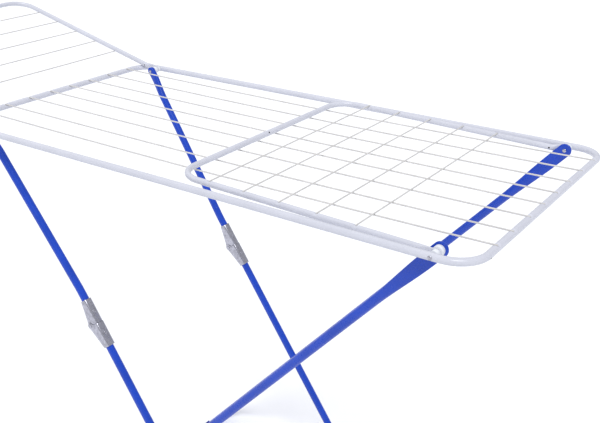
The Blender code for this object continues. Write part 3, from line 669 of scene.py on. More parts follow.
def run_tree(item, tree, values):
    """Grow the tree on an object and keep the result as its plain mesh."""
    modifier = item.modifiers.new(tree.name, "NODES")
    modifier.node_group = tree
    for socket in tree.interface.items_tree:
        if socket.item_type == "SOCKET" and socket.in_out == "INPUT" and socket.name in values:
            modifier[socket.identifier] = values[socket.name]
    item.update_tag()
    graph = bpy.context.evaluated_depsgraph_get()
    mesh = bpy.data.meshes.new_from_object(item.evaluated_get(graph))
    item.modifiers.remove(modifier)
    item.data = mesh
    for layer in ("section_centre", "across_scale", "normal_scale", "squareness", "facing", "shank"):
        found = mesh.attributes.get(layer)
        if found:
            mesh.attributes.remove(found)
    return item


def bake_modifiers(item):
    graph = bpy.context.evaluated_depsgraph_get()
    mesh = bpy.data.meshes.new_from_object(item.evaluated_get(graph))
    item.modifiers.clear()
    item.data = mesh


def mesh_from(builder, name, finish):
    """A builder's faces as a mesh with one material."""
    mesh = bpy.data.meshes.new(name)
    builder.to_mesh(mesh)
    builder.free()
    mesh.materials.append(material_named(finish))
    return mesh


def add_cut(item, tool):
    boolean = item.modifiers.new("cut", "BOOLEAN")
    boolean.object = tool
    boolean.operation = "DIFFERENCE"
    boolean.solver = "EXACT"
    return boolean


def add_soft_edges(item, width, segments, angle):
    soft = item.modifiers.new("soft_edges", "BEVEL")
    soft.width = width
    soft.segments = segments
    soft.limit_method = "ANGLE"
    soft.angle_limit = angle


def remove_object(item):
    bpy.data.objects.remove(item, do_unlink=True)


def settle(item, body, nodes):
    """Hand a finished piece to the frame."""
    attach(item, body)
    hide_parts(*nodes)


def make_tube(name, axes, points, shape, radius, press_lines, press_depth, finish, closed=False):
    """A tube along points in a piece's own plane.

    shape(point) gives (sideways shift, across scale, normal scale, squareness) at a point, and
    press_lines are pairs of ends, in the same axes, of the wires that dent the tube.
    """
    places, across, normal, square = [], [], [], []
    for point in points:
        shift, across_scale, normal_scale, squareness = shape(point)
        places.append(axes @ Vector((point.x, point.y + shift, shape.height)))
        across.append(across_scale)
        normal.append(normal_scale)
        square.append(squareness)
    edges = [(k, k + 1) for k in range(len(places) - 1)]
    if closed:
        edges.append((len(places) - 1, 0))
    path = lines_mesh(name, places, edges,
                      {"across_scale": across, "normal_scale": normal, "squareness": square})
    item = link_mesh(name, path)
    far_away = Vector((0, 0, -50))
    ends = [axes @ Vector(end) for line in press_lines for end in line] or [far_away, far_away * 1.01]
    presser = link_mesh(f"{name}_press", lines_mesh(
        f"{name}_press", ends, [(k, k + 1) for k in range(0, len(ends), 2)]))
    flat_axis = (axes.to_3x3() @ Vector((0, 0, 1))).normalized()
    run_tree(item, pressed_tube_tree(), {
        "Radius": radius, "Sides": sizes().tube_sides, "Flat Axis": tuple(flat_axis), "Pressed By": presser,
        "Press Depth": press_depth, "Press Reach": radius * 0.95, "Material": material_named(finish)})
    remove_object(presser)
    return item


class TubeShape:
    """How a tube's section changes along its plane. The plain one stays round."""
    height = 0.0

    def __call__(self, point):
        return 0.0, 1.0, 1.0, 1.0


class TabShape(TubeShape):
    """A tube whose ends are pressed to flat, rounded tabs and moved sideways to lie in the pivot stack."""

    def __init__(self, height, radius, tube_v, tab_v, half_thick, half_width, flat_until, round_from):
        self.height = height
        self.radius = radius
        self.shift = tab_v - tube_v
        self.thin = half_thick / radius
        self.wide = half_width / radius
        self.half_width = half_width
        self.flat_until = flat_until
        self.round_from = round_from

    def __call__(self, point):
        u = point.x
        if u > self.round_from:
            return 0.0, 1.0, 1.0, 1.0
        blend = ease(u, self.flat_until, self.round_from)
        across = self.thin + (1 - self.thin) * blend
        normal = self.wide + (1 - self.wide) * blend
        if u < 0:
            normal *= math.sqrt(max(1 - (u / self.half_width) ** 2, 0.0004))
        side = math.copysign(1.0, point.y)
        return side * self.shift * (1 - blend), across, normal, 0.35 + 0.65 * blend


def tab_walk(route, half_width, flat_until, round_from, fine_spots=()):
    """Points along an open route whose two ends are tabs: close together round the tabs' ends."""
    points = walk(route, fine_spots)
    length, place, _ = route[0]
    start_u = place(0).x
    steps = [start_u + half_width * (1 - math.cos(math.pi / 2 * k / 10)) for k in range(11)]
    fine = 0.004
    u = steps[-1] + fine
    while u < round_from + fine:
        steps.append(u)
        u += fine
    v = place(0).y
    middle = [p for p in points if p.x > steps[-1] + fine / 2]
    return ([Vector((u, v)) for u in steps] + middle + [Vector((u, -v)) for u in reversed(steps)])


def drill(item, holes):
    """Bore round holes whose walls take a near-black painted shade that stands for the dark inside of a
    hollow tube. Each hole is (start, end, radius).
    """
    builder = bmesh.new()
    for start, end, radius in holes:
        start, end = Vector(start), Vector(end)
        turn = (end - start).to_track_quat("Z", "Y").to_matrix().to_4x4()
        place = Matrix.Translation((start + end) / 2) @ turn
        bmesh.ops.create_cone(builder, cap_ends=True, segments=20, radius1=radius, radius2=radius,
                              depth=(end - start).length, matrix=place)
    # The hole walls get the near-black painted shade, as the solid tube has no dark hollow behind them.
    tool = link_mesh("drill", mesh_from(builder, "drill", "painted_hole_shade"))
    add_cut(item, tool).material_mode = "TRANSFER"
    bake_modifiers(item)
    remove_object(tool)


def node_names(start, count):
    return [f"{start}_{k}" for k in range(1, count + 1)]


def both_sides(stem):
    return [f"{stem}_front", f"{stem}_rear"]


# ---------------------------------------------------------------- centre frame

def centre_wire_places():
    """Y of every long wire, from the frame."""
    return [node_centre(name).y for name in node_names("centre_wire", WIRE_COUNT)]


def build_centre_frame():
    size = sizes()
    half_length = FRAME_SIZE.x / 2 - size.frame_tube
    half_width = FRAME_SIZE.y / 2 - size.frame_tube
    route = closed_route(half_length, half_width, size.frame_corner)
    spots, press = [], []
    for y in centre_wire_places():
        for end in (-1, 1):
            spots.append(Vector((end * half_length, y)))
            press.append(((end * (half_length - 0.02), y, size.frame_tube),
                          (end * (half_length + 0.0015), y, size.frame_tube)))
    item = make_tube("centre_frame", frame_axes(), walk(route, spots), TubeShape(), size.frame_tube, press,
                     -0.0034, "frame_powder_coat", closed=True)
    drain = 0.0019
    deep = size.frame_tube * 0.8
    left_end, low = FRAME_CENTRE.x - half_length, FRAME_CENTRE.z
    bend_middle = Vector((FRAME_CENTRE.x + half_length - size.frame_corner,
                          -half_width + size.frame_corner, low))
    drain_turn = math.radians(-3)
    outward = Vector((math.cos(drain_turn), math.sin(drain_turn), 0))
    on_bend = bend_middle + outward * size.frame_corner
    drill(item, [
        ((left_end + 0.004, 0.006, low - 0.012),
         (left_end + 0.001, 0.006, low - size.frame_tube + deep), drain),
        (on_bend + outward * 0.010 + Vector((0, 0, -0.005)), on_bend, drain)])
    settle(item, "centre_frame", ["centre_frame_tube"])


# ---------------------------------------------------------------- wires

def build_wires(name, axes, lines, radius, sag, stray, seed, bead_turn, body, nodes):
    """One piece of drying wires. lines are pairs of ends in the piece's axes."""
    ends = [axes @ Vector(end) for line in lines for end in line]
    item = link_mesh(name, lines_mesh(name, ends, [(k, k + 1) for k in range(0, len(ends), 2)]))
    run_tree(item, hanging_wire_tree(), {
        "Radius": radius, "Sag": sag, "Stray": stray, "Steps": 41, "Seed": seed,
        "Bead Size": (radius * 1.3, radius * 1.12, radius * 1.02), "Bead Turn": bead_turn,
        "Material": material_named("wire_dip_coat")})
    settle(item, body, nodes)


def wing_wire_lines():
    size = sizes()
    height = size.wing_rise - size.wing_wire_depth
    reach = size.wing_half_width - 0.0010
    places = [size.wing_wire_first + size.wing_wire_pitch * k for k in range(WING_WIRE_COUNT)]
    return [((u, -reach, height), (u, reach, height)) for u in places]


def build_all_wires():
    size = sizes()
    reach = FRAME_SIZE.x / 2 - size.frame_tube + 0.0005
    lines = [((-reach, y, size.wire_rest), (reach, y, size.wire_rest)) for y in centre_wire_places()]
    build_wires("centre_wires", frame_axes(), lines, size.wire, size.wire_sag, 0.003, 2.0, Euler((0, 0, 0)),
                "centre_frame", node_names("centre_wire", WIRE_COUNT))
    wings = (("right_wing", right_wing_axes(), 5.0), ("left_wing", left_wing_axes(), 9.0))
    for wing, axes, seed in wings:
        turn = axes.to_euler()
        turn.rotate_axis("Z", math.pi / 2)
        build_wires(f"{wing}_wires", axes, wing_wire_lines(), size.wing_wire, 0.0004, 0.0016, seed, turn,
                    wing, node_names(f"{wing}_wire", WING_WIRE_COUNT))


# ---------------------------------------------------------------- wings

WING_TAB_V = 0.25935
WING_TAB_HALF_THICK = 0.00165
WING_TAB_HALF_WIDTH = 0.0075


def build_wing(name, axes):
    size = sizes()
    flat_until, round_from = 0.009, 0.030
    shape = TabShape(size.wing_rise, size.wing_tube, size.wing_half_width, WING_TAB_V, WING_TAB_HALF_THICK,
                     WING_TAB_HALF_WIDTH, flat_until, round_from)
    route = open_route(-WING_TAB_HALF_WIDTH, size.wing_reach, size.wing_half_width, size.wing_corner)
    spots, press = [], []
    bottom = size.wing_rise - size.wing_tube
    for k in range(WING_WIRE_COUNT):
        u = size.wing_wire_first + size.wing_wire_pitch * k
        for side in (-1, 1):
            spots.append(Vector((u, side * size.wing_half_width)))
            press.append(((u, side * (size.wing_half_width - 0.02), bottom),
                          (u, side * (size.wing_half_width + 0.0020), bottom)))
    points = tab_walk(route, WING_TAB_HALF_WIDTH, flat_until, round_from, spots)
    item = make_tube(f"{name}_frame", axes, points, shape, size.wing_tube, press, 0.0016, "frame_powder_coat")
    drain = 0.0016
    holes = [((size.wing_reach - 0.010, 0.0, bottom - 0.001), (size.wing_reach, 0.0, size.wing_rise), drain)]
    for side in (-1, 1):
        holes.append(((0.030, side * (size.wing_half_width - 0.009), size.wing_rise),
                      (0.030, side * (size.wing_half_width + 0.002), size.wing_rise), drain))
    drill(item, [(axes @ Vector(start), axes @ Vector(end), radius) for start, end, radius in holes])
    settle(item, name, [f"{name}_tube"])


# ---------------------------------------------------------------- legs

RIGHT_TAB_V = 0.2473
RIGHT_TAB_HALF_THICK = 0.0023
RIGHT_TAB_HALF_WIDTH = 0.0121
RIGHT_TAB_STRETCH = (0.026, 0.160)     # where the tab stops being flat, and where the tube is round
LEFT_TAB_V = 0.2443
LEFT_TAB_HALF_THICK = 0.0050
LEFT_TAB_HALF_WIDTH = 0.0090
LEFT_TAB_STRETCH = (0.012, 0.075)
KNEE_STRAIGHT = 0.068                  # stretch above the knee that runs parallel to the lower leg
KNEE_GAP = 0.0006                      # from the knee to each tube's cut end


def leg_length(slope):
    return (RIGHT_PIVOT.z - sizes().floor_bar) / math.sin(slope)


def build_right_legs():
    size = sizes()
    flat_until, round_from = RIGHT_TAB_STRETCH
    shape = TabShape(0.0, size.leg_tube, size.leg_y, RIGHT_TAB_V, RIGHT_TAB_HALF_THICK,
                     RIGHT_TAB_HALF_WIDTH, flat_until, round_from)
    route = open_route(-RIGHT_TAB_HALF_WIDTH, leg_length(size.right_slope), size.leg_y, size.floor_corner)
    points = tab_walk(route, RIGHT_TAB_HALF_WIDTH, flat_until, round_from)
    item = make_tube("right_leg_frame", right_leg_axes(), points, shape, size.leg_tube, [], 0.0,
                     "leg_powder_coat")
    settle(item, "right_legs", ["right_leg_tube"])


class UpperLegShape(TabShape):
    """A left upper leg: squeezed at its pivot, leaning inwards, and straight again at the knee."""

    def __call__(self, point):
        shift, across, normal, squareness = super().__call__(point)
        size = sizes()
        lean_stop = size.knee_reach - KNEE_STRAIGHT
        t = min(max((point.x - self.round_from) / (lean_stop - self.round_from), 0.0), 1.0)
        corner = 0.02
        soft = t - corner * ease(t, 1 - 2 * corner, 1)
        inward = (size.upper_leg_y - size.lower_leg_y) * min(soft / (1 - corner), 1.0)
        side = math.copysign(1.0, point.y)
        return shift - side * inward, across, normal, squareness


def build_left_upper_legs():
    size = sizes()
    flat_until, round_from = LEFT_TAB_STRETCH
    shape = UpperLegShape(0.0, size.leg_tube, size.upper_leg_y, LEFT_TAB_V, LEFT_TAB_HALF_THICK,
                          LEFT_TAB_HALF_WIDTH, flat_until, round_from)
    # The leg frame's own Y axis points to the front.
    for side, side_name in ((1, "front"), (-1, "rear")):
        steps = [-LEFT_TAB_HALF_WIDTH * math.cos(math.pi / 2 * k / 10) for k in range(11)]
        u = 0.004
        while u < size.knee_reach - KNEE_GAP:
            steps.append(u)
            u += 0.004
        steps.append(size.knee_reach - KNEE_GAP)
        points = [Vector((u, side * size.upper_leg_y)) for u in steps]
        item = make_tube(f"left_upper_leg_{side_name}_tube", left_leg_axes(), points, shape,
                         size.leg_tube, [], 0.0, "leg_powder_coat")
        settle(item, "left_upper_legs", [f"left_upper_leg_{side_name}"])


def build_left_lower_legs():
    size = sizes()
    reach = leg_length(size.left_slope)
    route = open_route(size.knee_reach + KNEE_GAP, reach, size.lower_leg_y, size.floor_corner)
    points = walk(route)
    _, last_place, _ = route[-1]
    points.append(last_place(1))
    item = make_tube("left_lower_leg_frame", left_leg_axes(), points, TubeShape(), size.leg_tube, [], 0.0,
                     "leg_powder_coat")
    settle(item, "left_lower_legs", ["left_lower_leg_tube"])


# ---------------------------------------------------------------- knees

KNEE_SHEET = 0.0008
KNEE_WEB_DEPTH = 0.0083
KNEE_BEND = 0.0042             # outer radius of the two long bends
KNEE_CHANNEL = 0.052
KNEE_LOBE = 0.0068
KNEE_RIVET_REACH = 0.024
UPPER_HALF = 0.0091
LOWER_HALF = 0.0081


def prism(outline, half_width, middle_v, round_edges):
    """A solid from an outline in the knee's plane, with its two long back edges rounded."""
    builder = bmesh.new()
    loops = []
    for v in (middle_v - half_width, middle_v + half_width):
        loops.append([builder.verts.new((u, v, w)) for u, w in outline])
    count = len(outline)
    for k in range(count):
        after = (k + 1) % count
        builder.faces.new((loops[0][k], loops[0][after], loops[1][after], loops[1][k]))
    builder.faces.new(list(reversed(loops[0])))
    builder.faces.new(loops[1])
    bmesh.ops.recalc_face_normals(builder, faces=builder.faces)
    lowest = min(w for _, w in outline)
    if round_edges:
        backs = [edge for edge in builder.edges
                 if all(abs(vert.co.z - lowest) < 1e-6 for vert in edge.verts)
                 and abs(edge.verts[0].co.y - edge.verts[1].co.y) < 1e-6]
        bmesh.ops.bevel(builder, geom=backs, offset=round_edges, segments=5, profile=0.5, affect="EDGES")
    return builder


def knee_outline(direction):
    """(u, w) of a channel's side view: straight back, a lobe round the pin and a long swept edge."""
    back = -sizes().knee_pin_offset - KNEE_WEB_DEPTH - KNEE_SHEET
    outline = [(-KNEE_CHANNEL, back), (-0.0002, back), (-0.0002, -0.011)]
    for k in range(17):
        turn = math.radians(-45 + 180 * k / 16)
        outline.append((KNEE_LOBE * math.cos(turn), KNEE_LOBE * math.sin(turn)))
    sweep_start, sweep_stop = Vector((-0.0075, 0.0035)), Vector((-KNEE_CHANNEL, -0.0085))
    pull = Vector((-0.020, 0.0))
    for k in range(1, 9):
        t = k / 8
        point = (1 - t) ** 2 * sweep_start + 2 * t * (1 - t) * pull + t * t * sweep_stop
        outline.append((point.x, point.y))
    return [(-direction * u, w) for u, w in outline]


def build_knee_channel(name, side, direction, half_inside, body, node):
    size = sizes()
    middle = side * size.lower_leg_y
    builder = prism(knee_outline(direction), half_inside + KNEE_SHEET, middle, KNEE_BEND)
    mesh = mesh_from(builder, name, "zinc_plated_steel")
    mesh.transform(knee_axes())
    item = link_mesh(name, mesh)
    web = -size.knee_pin_offset - KNEE_WEB_DEPTH
    past_end, past_cheek = 0.08, 0.05
    hollow = [(-past_end, web), (past_end, web), (past_end, past_cheek), (-past_end, past_cheek)]
    inside = prism(hollow, half_inside, middle, KNEE_BEND - KNEE_SHEET)
    tool_mesh = mesh_from(inside, "channel_inside", "zinc_plated_steel")
    tool_mesh.transform(knee_axes())
    tool = link_mesh("channel_inside", tool_mesh)
    add_cut(item, tool)
    add_soft_edges(item, 0.0003, 2, math.radians(40))
    bake_modifiers(item)
    remove_object(tool)
    item.data.shade_smooth()
    item.data.set_sharp_from_angle(angle=math.radians(35))
    settle(item, body, [node])


def build_knees():
    for side, side_name in ((1, "front"), (-1, "rear")):
        build_knee_channel(f"knee_upper_channel_{side_name}", side, 1, UPPER_HALF, "left_upper_legs",
                           f"knee_upper_bracket_{side_name}")
        build_knee_channel(f"knee_lower_channel_{side_name}", side, -1, LOWER_HALF, "left_lower_legs",
                           f"knee_lower_bracket_{side_name}")


# ---------------------------------------------------------------- rivets, spacers and feet

# Head radius, head height and shank radius
PIVOT_RIVET = (0.0035, 0.0012, 0.0028)
KNEE_PIN = (0.0042, 0.0011, 0.0025)
CHANNEL_RIVET = (0.0034, 0.0011, 0.0020)
CROSSING_RIVET = (0.0050, 0.0021, 0.0028)
SPACER_BORE = 0.0030
OUTER_SPACER_R = 0.0060
INNER_SPACER_R = 0.0085
CROSSING_SPACER_BORE = 0.0029
CROSSING_SPACER_R = 0.0065
FOOT_OUTER_R = 0.0113
FOOT_SLOT = math.radians(58)

def build_rivets(name, places, head, height, shank, body, nodes):
    """One piece of rivets on a body. Each place is (point, facing, shank length)."""
    points = [place for place, _, _ in places]
    item = link_mesh(name, lines_mesh(name, points, [], {
        "facing": [Vector(facing) for _, facing, _ in places], "shank": [length for _, _, length in places]}))
    run_tree(item, rivet_tree(), {"Head Radius": head, "Head Height": height, "Shank Radius": shank,
                                  "Material": material_named("zinc_plated_steel")})
    settle(item, body, nodes)


def rivet_pair(middle, axis, outer, inner):
    """Two heads on one shank: places for its two ends, outer and inner from middle along axis."""
    axis = Vector(axis)
    length = outer - inner
    return [(middle + axis * outer, axis, length), (middle + axis * inner, -axis, 0.0001)]


def build_all_rivets():
    size = sizes()
    outside = FRAME_SIZE.y / 2 + 0.0003
    ends = ((RIGHT_PIVOT, RIGHT_TAB_V - 0.0026), (LEFT_PIVOT, LEFT_TAB_V - 0.0053))
    pivots = []
    for pivot, inside in ends:
        for side in (-1, 1):
            pivots += rivet_pair(pivot, (0, side, 0), outside, inside)
    nodes = [f"pivot_rivet_{end}_{side}" for end in ("left", "right") for side in ("front", "rear")]
    build_rivets("pivot_rivets", pivots, *PIVOT_RIVET, "centre_frame", nodes)

    half = UPPER_HALF + KNEE_SHEET + 0.0003
    pins = []
    for side in (-1, 1):
        pins += rivet_pair(KNEE_AXIS + Vector((0, side * size.lower_leg_y, 0)), (0, side, 0), half, -half)
    build_rivets("knee_pins", pins, *KNEE_PIN, "left_upper_legs", both_sides("knee_pin"))

    inward = (knee_axes().to_3x3() @ Vector((0, 0, -1))).normalized()
    back = -size.knee_pin_offset - KNEE_WEB_DEPTH - KNEE_SHEET - 0.0001
    for direction, half_name, body in ((-1, "upper", "left_upper_legs"), (1, "lower", "left_lower_legs")):
        places = [(knee_axes() @ Vector((direction * KNEE_RIVET_REACH, side * size.lower_leg_y, back)),
                   inward, 0.0040) for side in (-1, 1)]
        build_rivets(f"{half_name}_channel_rivets", places, *CHANNEL_RIVET, body,
                     both_sides(f"{half_name}_bracket_rivet"))

    crossing = node_centre("crossing_spacer_front")
    crossing.y = 0
    split = size.lower_leg_y + size.leg_tube
    outer_face = size.leg_y + size.leg_tube - 0.0002
    inner_face = size.lower_leg_y - size.leg_tube + 0.0002
    heads = [(crossing + Vector((0, side * outer_face, 0)), (0, side, 0), outer_face - split - 0.0004)
             for side in (-1, 1)]
    tails = [(crossing + Vector((0, side * inner_face, 0)), (0, -side, 0), split - inner_face)
             for side in (-1, 1)]
    build_rivets("crossing_rivet_heads", heads, *CROSSING_RIVET, "right_legs",
                 both_sides("crossing_rivet"))
    build_rivets("crossing_rivet_tails", tails, *CROSSING_RIVET, "left_lower_legs",
                 both_sides("crossing_rivet_tail"))


def ring_builder(builder, centre, inner, outer, start, stop, soft=0.0005, sides=40):
    """A plain ring about Y with softened outer edges, from y = start to y = stop."""
    low, high = min(start, stop), max(start, stop)
    section = [(inner, low), (outer - soft, low), (outer - soft * 0.3, low + soft * 0.3), (outer, low + soft),
               (outer, high - soft), (outer - soft * 0.3, high - soft * 0.3), (outer - soft, high),
               (inner, high)]
    rings = []
    for k in range(sides):
        turn = 2 * math.pi * k / sides
        rings.append([builder.verts.new((centre.x + r * math.cos(turn), y, centre.z + r * math.sin(turn)))
                      for r, y in section])
    for k in range(sides):
        near, far = rings[k], rings[(k + 1) % sides]
        for j in range(len(section)):
            after = (j + 1) % len(section)
            builder.faces.new((near[j], near[after], far[after], far[j]))


def build_spacer_piece(name, rings, body, nodes):
    builder = bmesh.new()
    for centre, inner, outer, start, stop in rings:
        ring_builder(builder, centre, inner, outer, start, stop)
    bmesh.ops.recalc_face_normals(builder, faces=builder.faces)
    mesh = mesh_from(builder, name, "spacer_polypropylene")
    mesh.shade_smooth()
    mesh.set_sharp_from_angle(angle=math.radians(50))
    settle(link_mesh(name, mesh), body, nodes)


def build_spacers():
    wing_in, wing_out = WING_TAB_V - WING_TAB_HALF_THICK, WING_TAB_V + WING_TAB_HALF_THICK
    frame_in = FRAME_SIZE.y / 2 - 2 * sizes().frame_tube
    ends = ((RIGHT_PIVOT, RIGHT_TAB_V + RIGHT_TAB_HALF_THICK),
            (LEFT_PIVOT, LEFT_TAB_V + LEFT_TAB_HALF_THICK))
    rings = []
    for pivot, leg_out in ends:
        for side in (-1, 1):
            rings.append((pivot, SPACER_BORE, OUTER_SPACER_R, side * wing_out, side * (frame_in - 0.0004)))
            rings.append((pivot, SPACER_BORE, INNER_SPACER_R, side * leg_out, side * wing_in))
    nodes = [f"{kind}_spacer_{end}_{side}" for kind in ("outer", "inner") for end in ("left", "right")
             for side in ("front", "rear")]
    build_spacer_piece("pivot_spacers", rings, "centre_frame", nodes)
    crossing = node_centre("crossing_spacer_front")
    split = sizes().lower_leg_y + sizes().leg_tube
    far_face = sizes().leg_y - sizes().leg_tube + 0.0004
    rings = [(crossing, CROSSING_SPACER_BORE, CROSSING_SPACER_R, side * (split + 0.0004), side * far_face)
             for side in (-1, 1)]
    build_spacer_piece("crossing_spacers", rings, "right_legs", both_sides("crossing_spacer"))


def foot_outline():
    """(x, z) of a clip-on foot's section: flat base, round bore, and a slot on top to clip over the bar."""
    size = sizes()
    bore, outer = size.leg_tube + 0.0002, FOOT_OUTER_R
    slot, low = FOOT_SLOT, math.radians(-12)
    outline = [(-0.0133, 0.0), (0.0133, 0.0), (0.0126, 0.0038)]
    for k in range(13):
        turn = low + (slot - low) * k / 12
        outline.append((outer * math.cos(turn), size.floor_bar + outer * math.sin(turn)))
    for k in range(33):
        turn = slot - (math.pi + 2 * slot) * k / 32
        outline.append((bore * math.cos(turn), size.floor_bar + bore * math.sin(turn)))
    for k in range(13):
        turn = math.pi - slot + (slot - low) * k / 12
        outline.append((outer * math.cos(turn), size.floor_bar + outer * math.sin(turn)))
    outline.append((-0.0126, 0.0038))
    return outline


def build_feet(name, stem, body):
    builder = bmesh.new()
    outline = foot_outline()
    # Shallow grip grooves run round the shoe across its length.
    for side_name in ("front", "rear"):
        low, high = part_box(f"{stem}_{side_name}")
        middle_x = (low.x + high.x) / 2
        grooves = 5
        length = high.y - low.y
        stops = [(low.y, 1.0)]
        for k in range(grooves):
            at = low.y + length * (k + 1) / (grooves + 1)
            stops += [(at - 0.0012, 1.0), (at - 0.0006, 0.972), (at + 0.0006, 0.972), (at + 0.0012, 1.0)]
        stops.append((high.y, 1.0))
        rings = []
        for y, scale in stops:
            ring = []
            for x, z in outline:
                outside = math.hypot(x, z - sizes().floor_bar) > sizes().leg_tube + 0.0010 and z > 0.0005
                factor = scale if outside else 1.0
                ring.append(builder.verts.new((middle_x + x * factor, y,
                                               sizes().floor_bar + (z - sizes().floor_bar) * factor)))
            rings.append(ring)
        for near, far in zip(rings, rings[1:]):
            for k in range(len(outline)):
                after = (k + 1) % len(outline)
                builder.faces.new((near[k], near[after], far[after], far[k]))
        builder.faces.new(list(reversed(rings[0])))
        builder.faces.new(rings[-1])
    bmesh.ops.recalc_face_normals(builder, faces=builder.faces)
    item = link_mesh(name, mesh_from(builder, name, "foot_polypropylene"))
    add_soft_edges(item, 0.0006, 3, math.radians(50))
    bake_modifiers(item)
    item.data.shade_smooth()
    item.data.set_sharp_from_angle(angle=math.radians(40))
    settle(item, body, both_sides(stem))


# ---------------------------------------------------------------- stage

CAMERA_PLACE = Vector((0.4265, -1.299, 0.554))    # from the middle of the right end tube
CAMERA_YAW = math.radians(125.7)
CAMERA_PITCH = math.radians(21.6)
CAMERA_ROLL = math.radians(0.46)
CAMERA_LENS = 54.54
CAMERA_SHIFT = (0.026667, -0.049833)


def build_camera():
    camera = bpy.data.cameras.new("camera")
    camera.sensor_width = 36.0
    camera.lens = CAMERA_LENS
    camera.shift_x, camera.shift_y = CAMERA_SHIFT
    camera.clip_end = 60.0
    item = bpy.data.objects.new("camera", camera)
    bpy.context.scene.collection.objects.link(item)
    forward = Vector((math.cos(CAMERA_YAW) * math.cos(CAMERA_PITCH),
                      math.sin(CAMERA_YAW) * math.cos(CAMERA_PITCH), -math.sin(CAMERA_PITCH)))
    right = Vector((math.sin(CAMERA_YAW), -math.cos(CAMERA_YAW), 0.0))
    up = right.cross(forward)
    turned_right = right * math.cos(CAMERA_ROLL) - up * math.sin(CAMERA_ROLL)
    turned_up = up * math.cos(CAMERA_ROLL) + right * math.sin(CAMERA_ROLL)
    turn = Matrix((turned_right, turned_up, -forward)).transposed().to_4x4()
    right_end = FRAME_CENTRE + Vector((FRAME_SIZE.x / 2 - sizes().frame_tube, 0, 0))
    item.matrix_world = Matrix.Translation(right_end + CAMERA_PLACE) @ turn
    bpy.context.scene.camera = item


def add_soft_sun(name, source, angle, strength):
    """A wide, far light whose shadows are too soft to see."""
    light = bpy.data.lights.new(name, "SUN")
    light.angle = angle
    light.energy = strength
    item = bpy.data.objects.new(name, light)
    bpy.context.scene.collection.objects.link(item)
    item.matrix_world = Vector(source).to_track_quat("Z", "Y").to_matrix().to_4x4()


def build_stage():
    mesh = bpy.data.meshes.new("floor")
    reach = 14.0
    mesh.from_pydata([(-reach, -reach, 0), (reach, -reach, 0), (reach, reach, 0), (-reach, reach, 0)], [],
                     [(0, 1, 2, 3)])
    mesh.materials.append(material_named("matt_studio_paint"))
    floor = link_mesh("floor", mesh)
    world = bpy.data.worlds.new("studio")
    world.use_nodes = True
    backdrop = world.node_tree.nodes["Background"]
    backdrop.inputs["Color"].default_value = linear("#F8F9FF")
    backdrop.inputs["Strength"].default_value = 0.62
    bpy.context.scene.world = world
    add_soft_sun("key_light", (0.35, -0.55, 1.0), math.radians(24), 1.9)
    add_soft_sun("fill_light", (-0.8, 0.3, 0.9), math.radians(70), 0.5)
    bpy.context.scene.view_settings.view_transform = "Standard"
    build_camera()


# ---------------------------------------------------------------- operators

class RACK_OT_stage(bpy.types.Operator):
    """Set up the floor, the lights and the camera"""
    bl_idname = "rack.stage"
    bl_label = "Stage"

    def execute(self, context):
        build_stage()
        return {"FINISHED"}


class RACK_OT_centre_frame(bpy.types.Operator):
    """Bend the centre frame's tube and dent it under the wires"""
    bl_idname = "rack.centre_frame"
    bl_label = "Centre Frame"

    def execute(self, context):
        build_centre_frame()
        return {"FINISHED"}


class RACK_OT_wires(bpy.types.Operator):
    """Hang the drying wires in the centre frame and the wings"""
    bl_idname = "rack.wires"
    bl_label = "Drying Wires"

    def execute(self, context):
        build_all_wires()
        return {"FINISHED"}


class RACK_OT_wings(bpy.types.Operator):
    """Bend both wings' tubes and press their pivot tabs"""
    bl_idname = "rack.wings"
    bl_label = "Wings"

    def execute(self, context):
        build_wing("right_wing", right_wing_axes())
        build_wing("left_wing", left_wing_axes())
        return {"FINISHED"}


class RACK_OT_legs(bpy.types.Operator):
    """Bend the right legs, the left upper legs and the left lower legs"""
    bl_idname = "rack.legs"
    bl_label = "Legs"

    def execute(self, context):
        build_right_legs()
        build_left_upper_legs()
        build_left_lower_legs()
        return {"FINISHED"}


class RACK_OT_knees(bpy.types.Operator):
    """Press the knee channels of the left legs"""
    bl_idname = "rack.knees"
    bl_label = "Knee Channels"

    def execute(self, context):
        build_knees()
        return {"FINISHED"}


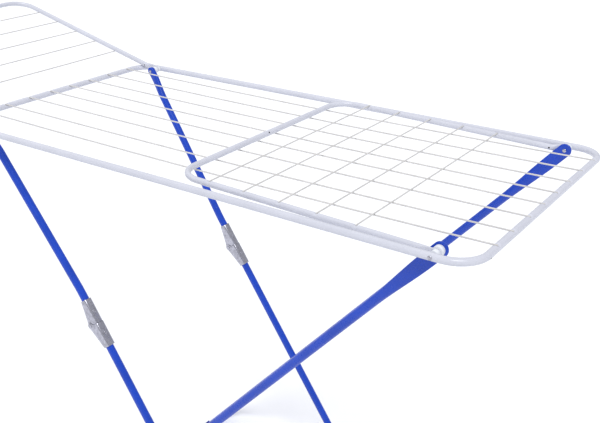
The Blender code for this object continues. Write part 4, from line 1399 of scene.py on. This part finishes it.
class RACK_OT_rivets(bpy.types.Operator):
    """Set the rivets and pins at the pivots, knees and crossings"""
    bl_idname = "rack.rivets"
    bl_label = "Rivets"

    def execute(self, context):
        build_all_rivets()
        return {"FINISHED"}


class RACK_OT_spacers(bpy.types.Operator):
    """Put the moulded spacers on the rivets"""
    bl_idname = "rack.spacers"
    bl_label = "Spacers"

    def execute(self, context):
        build_spacers()
        return {"FINISHED"}


class RACK_OT_feet(bpy.types.Operator):
    """Clip the feet on the floor bars"""
    bl_idname = "rack.feet"
    bl_label = "Feet"

    def execute(self, context):
        build_feet("right_feet", "right_foot", "right_legs")
        build_feet("left_feet", "left_foot", "left_lower_legs")
        return {"FINISHED"}


OPERATORS = (RACK_OT_stage, RACK_OT_centre_frame, RACK_OT_wires, RACK_OT_wings, RACK_OT_legs, RACK_OT_knees,
             RACK_OT_rivets, RACK_OT_spacers, RACK_OT_feet)


class RACK_PT_panel(bpy.types.Panel):
    """Lists the rack's sizes, colours and pieces"""
    bl_idname = "RACK_PT_panel"
    bl_label = "Drying Rack"
    bl_space_type = "VIEW_3D"
    bl_region_type = "UI"
    bl_category = "Drying Rack"

    def draw(self, context):
        column = self.layout.column()
        for group in (context.scene.rack_sizes, context.scene.rack_colours):
            for name in group.__annotations__:
                column.prop(group, name)
        for operator in OPERATORS:
            column.operator(operator.bl_idname)


CLASSES = (RackSizes, RackColours, *OPERATORS, RACK_PT_panel)


def register():
    for item in CLASSES:
        bpy.utils.register_class(item)
    bpy.types.Scene.rack_sizes = PointerProperty(type=RackSizes)
    bpy.types.Scene.rack_colours = PointerProperty(type=RackColours)


def unregister():
    del bpy.types.Scene.rack_sizes
    del bpy.types.Scene.rack_colours
    for item in reversed(CLASSES):
        bpy.utils.unregister_class(item)


def main():
    register()
    bpy.ops.rack.stage()
    bpy.ops.rack.centre_frame()
    bpy.ops.rack.wires()
    bpy.ops.rack.wings()
    bpy.ops.rack.legs()
    bpy.ops.rack.knees()
    bpy.ops.rack.rivets()
    bpy.ops.rack.spacers()
    bpy.ops.rack.feet()


if __name__ == "__main__":
    main()
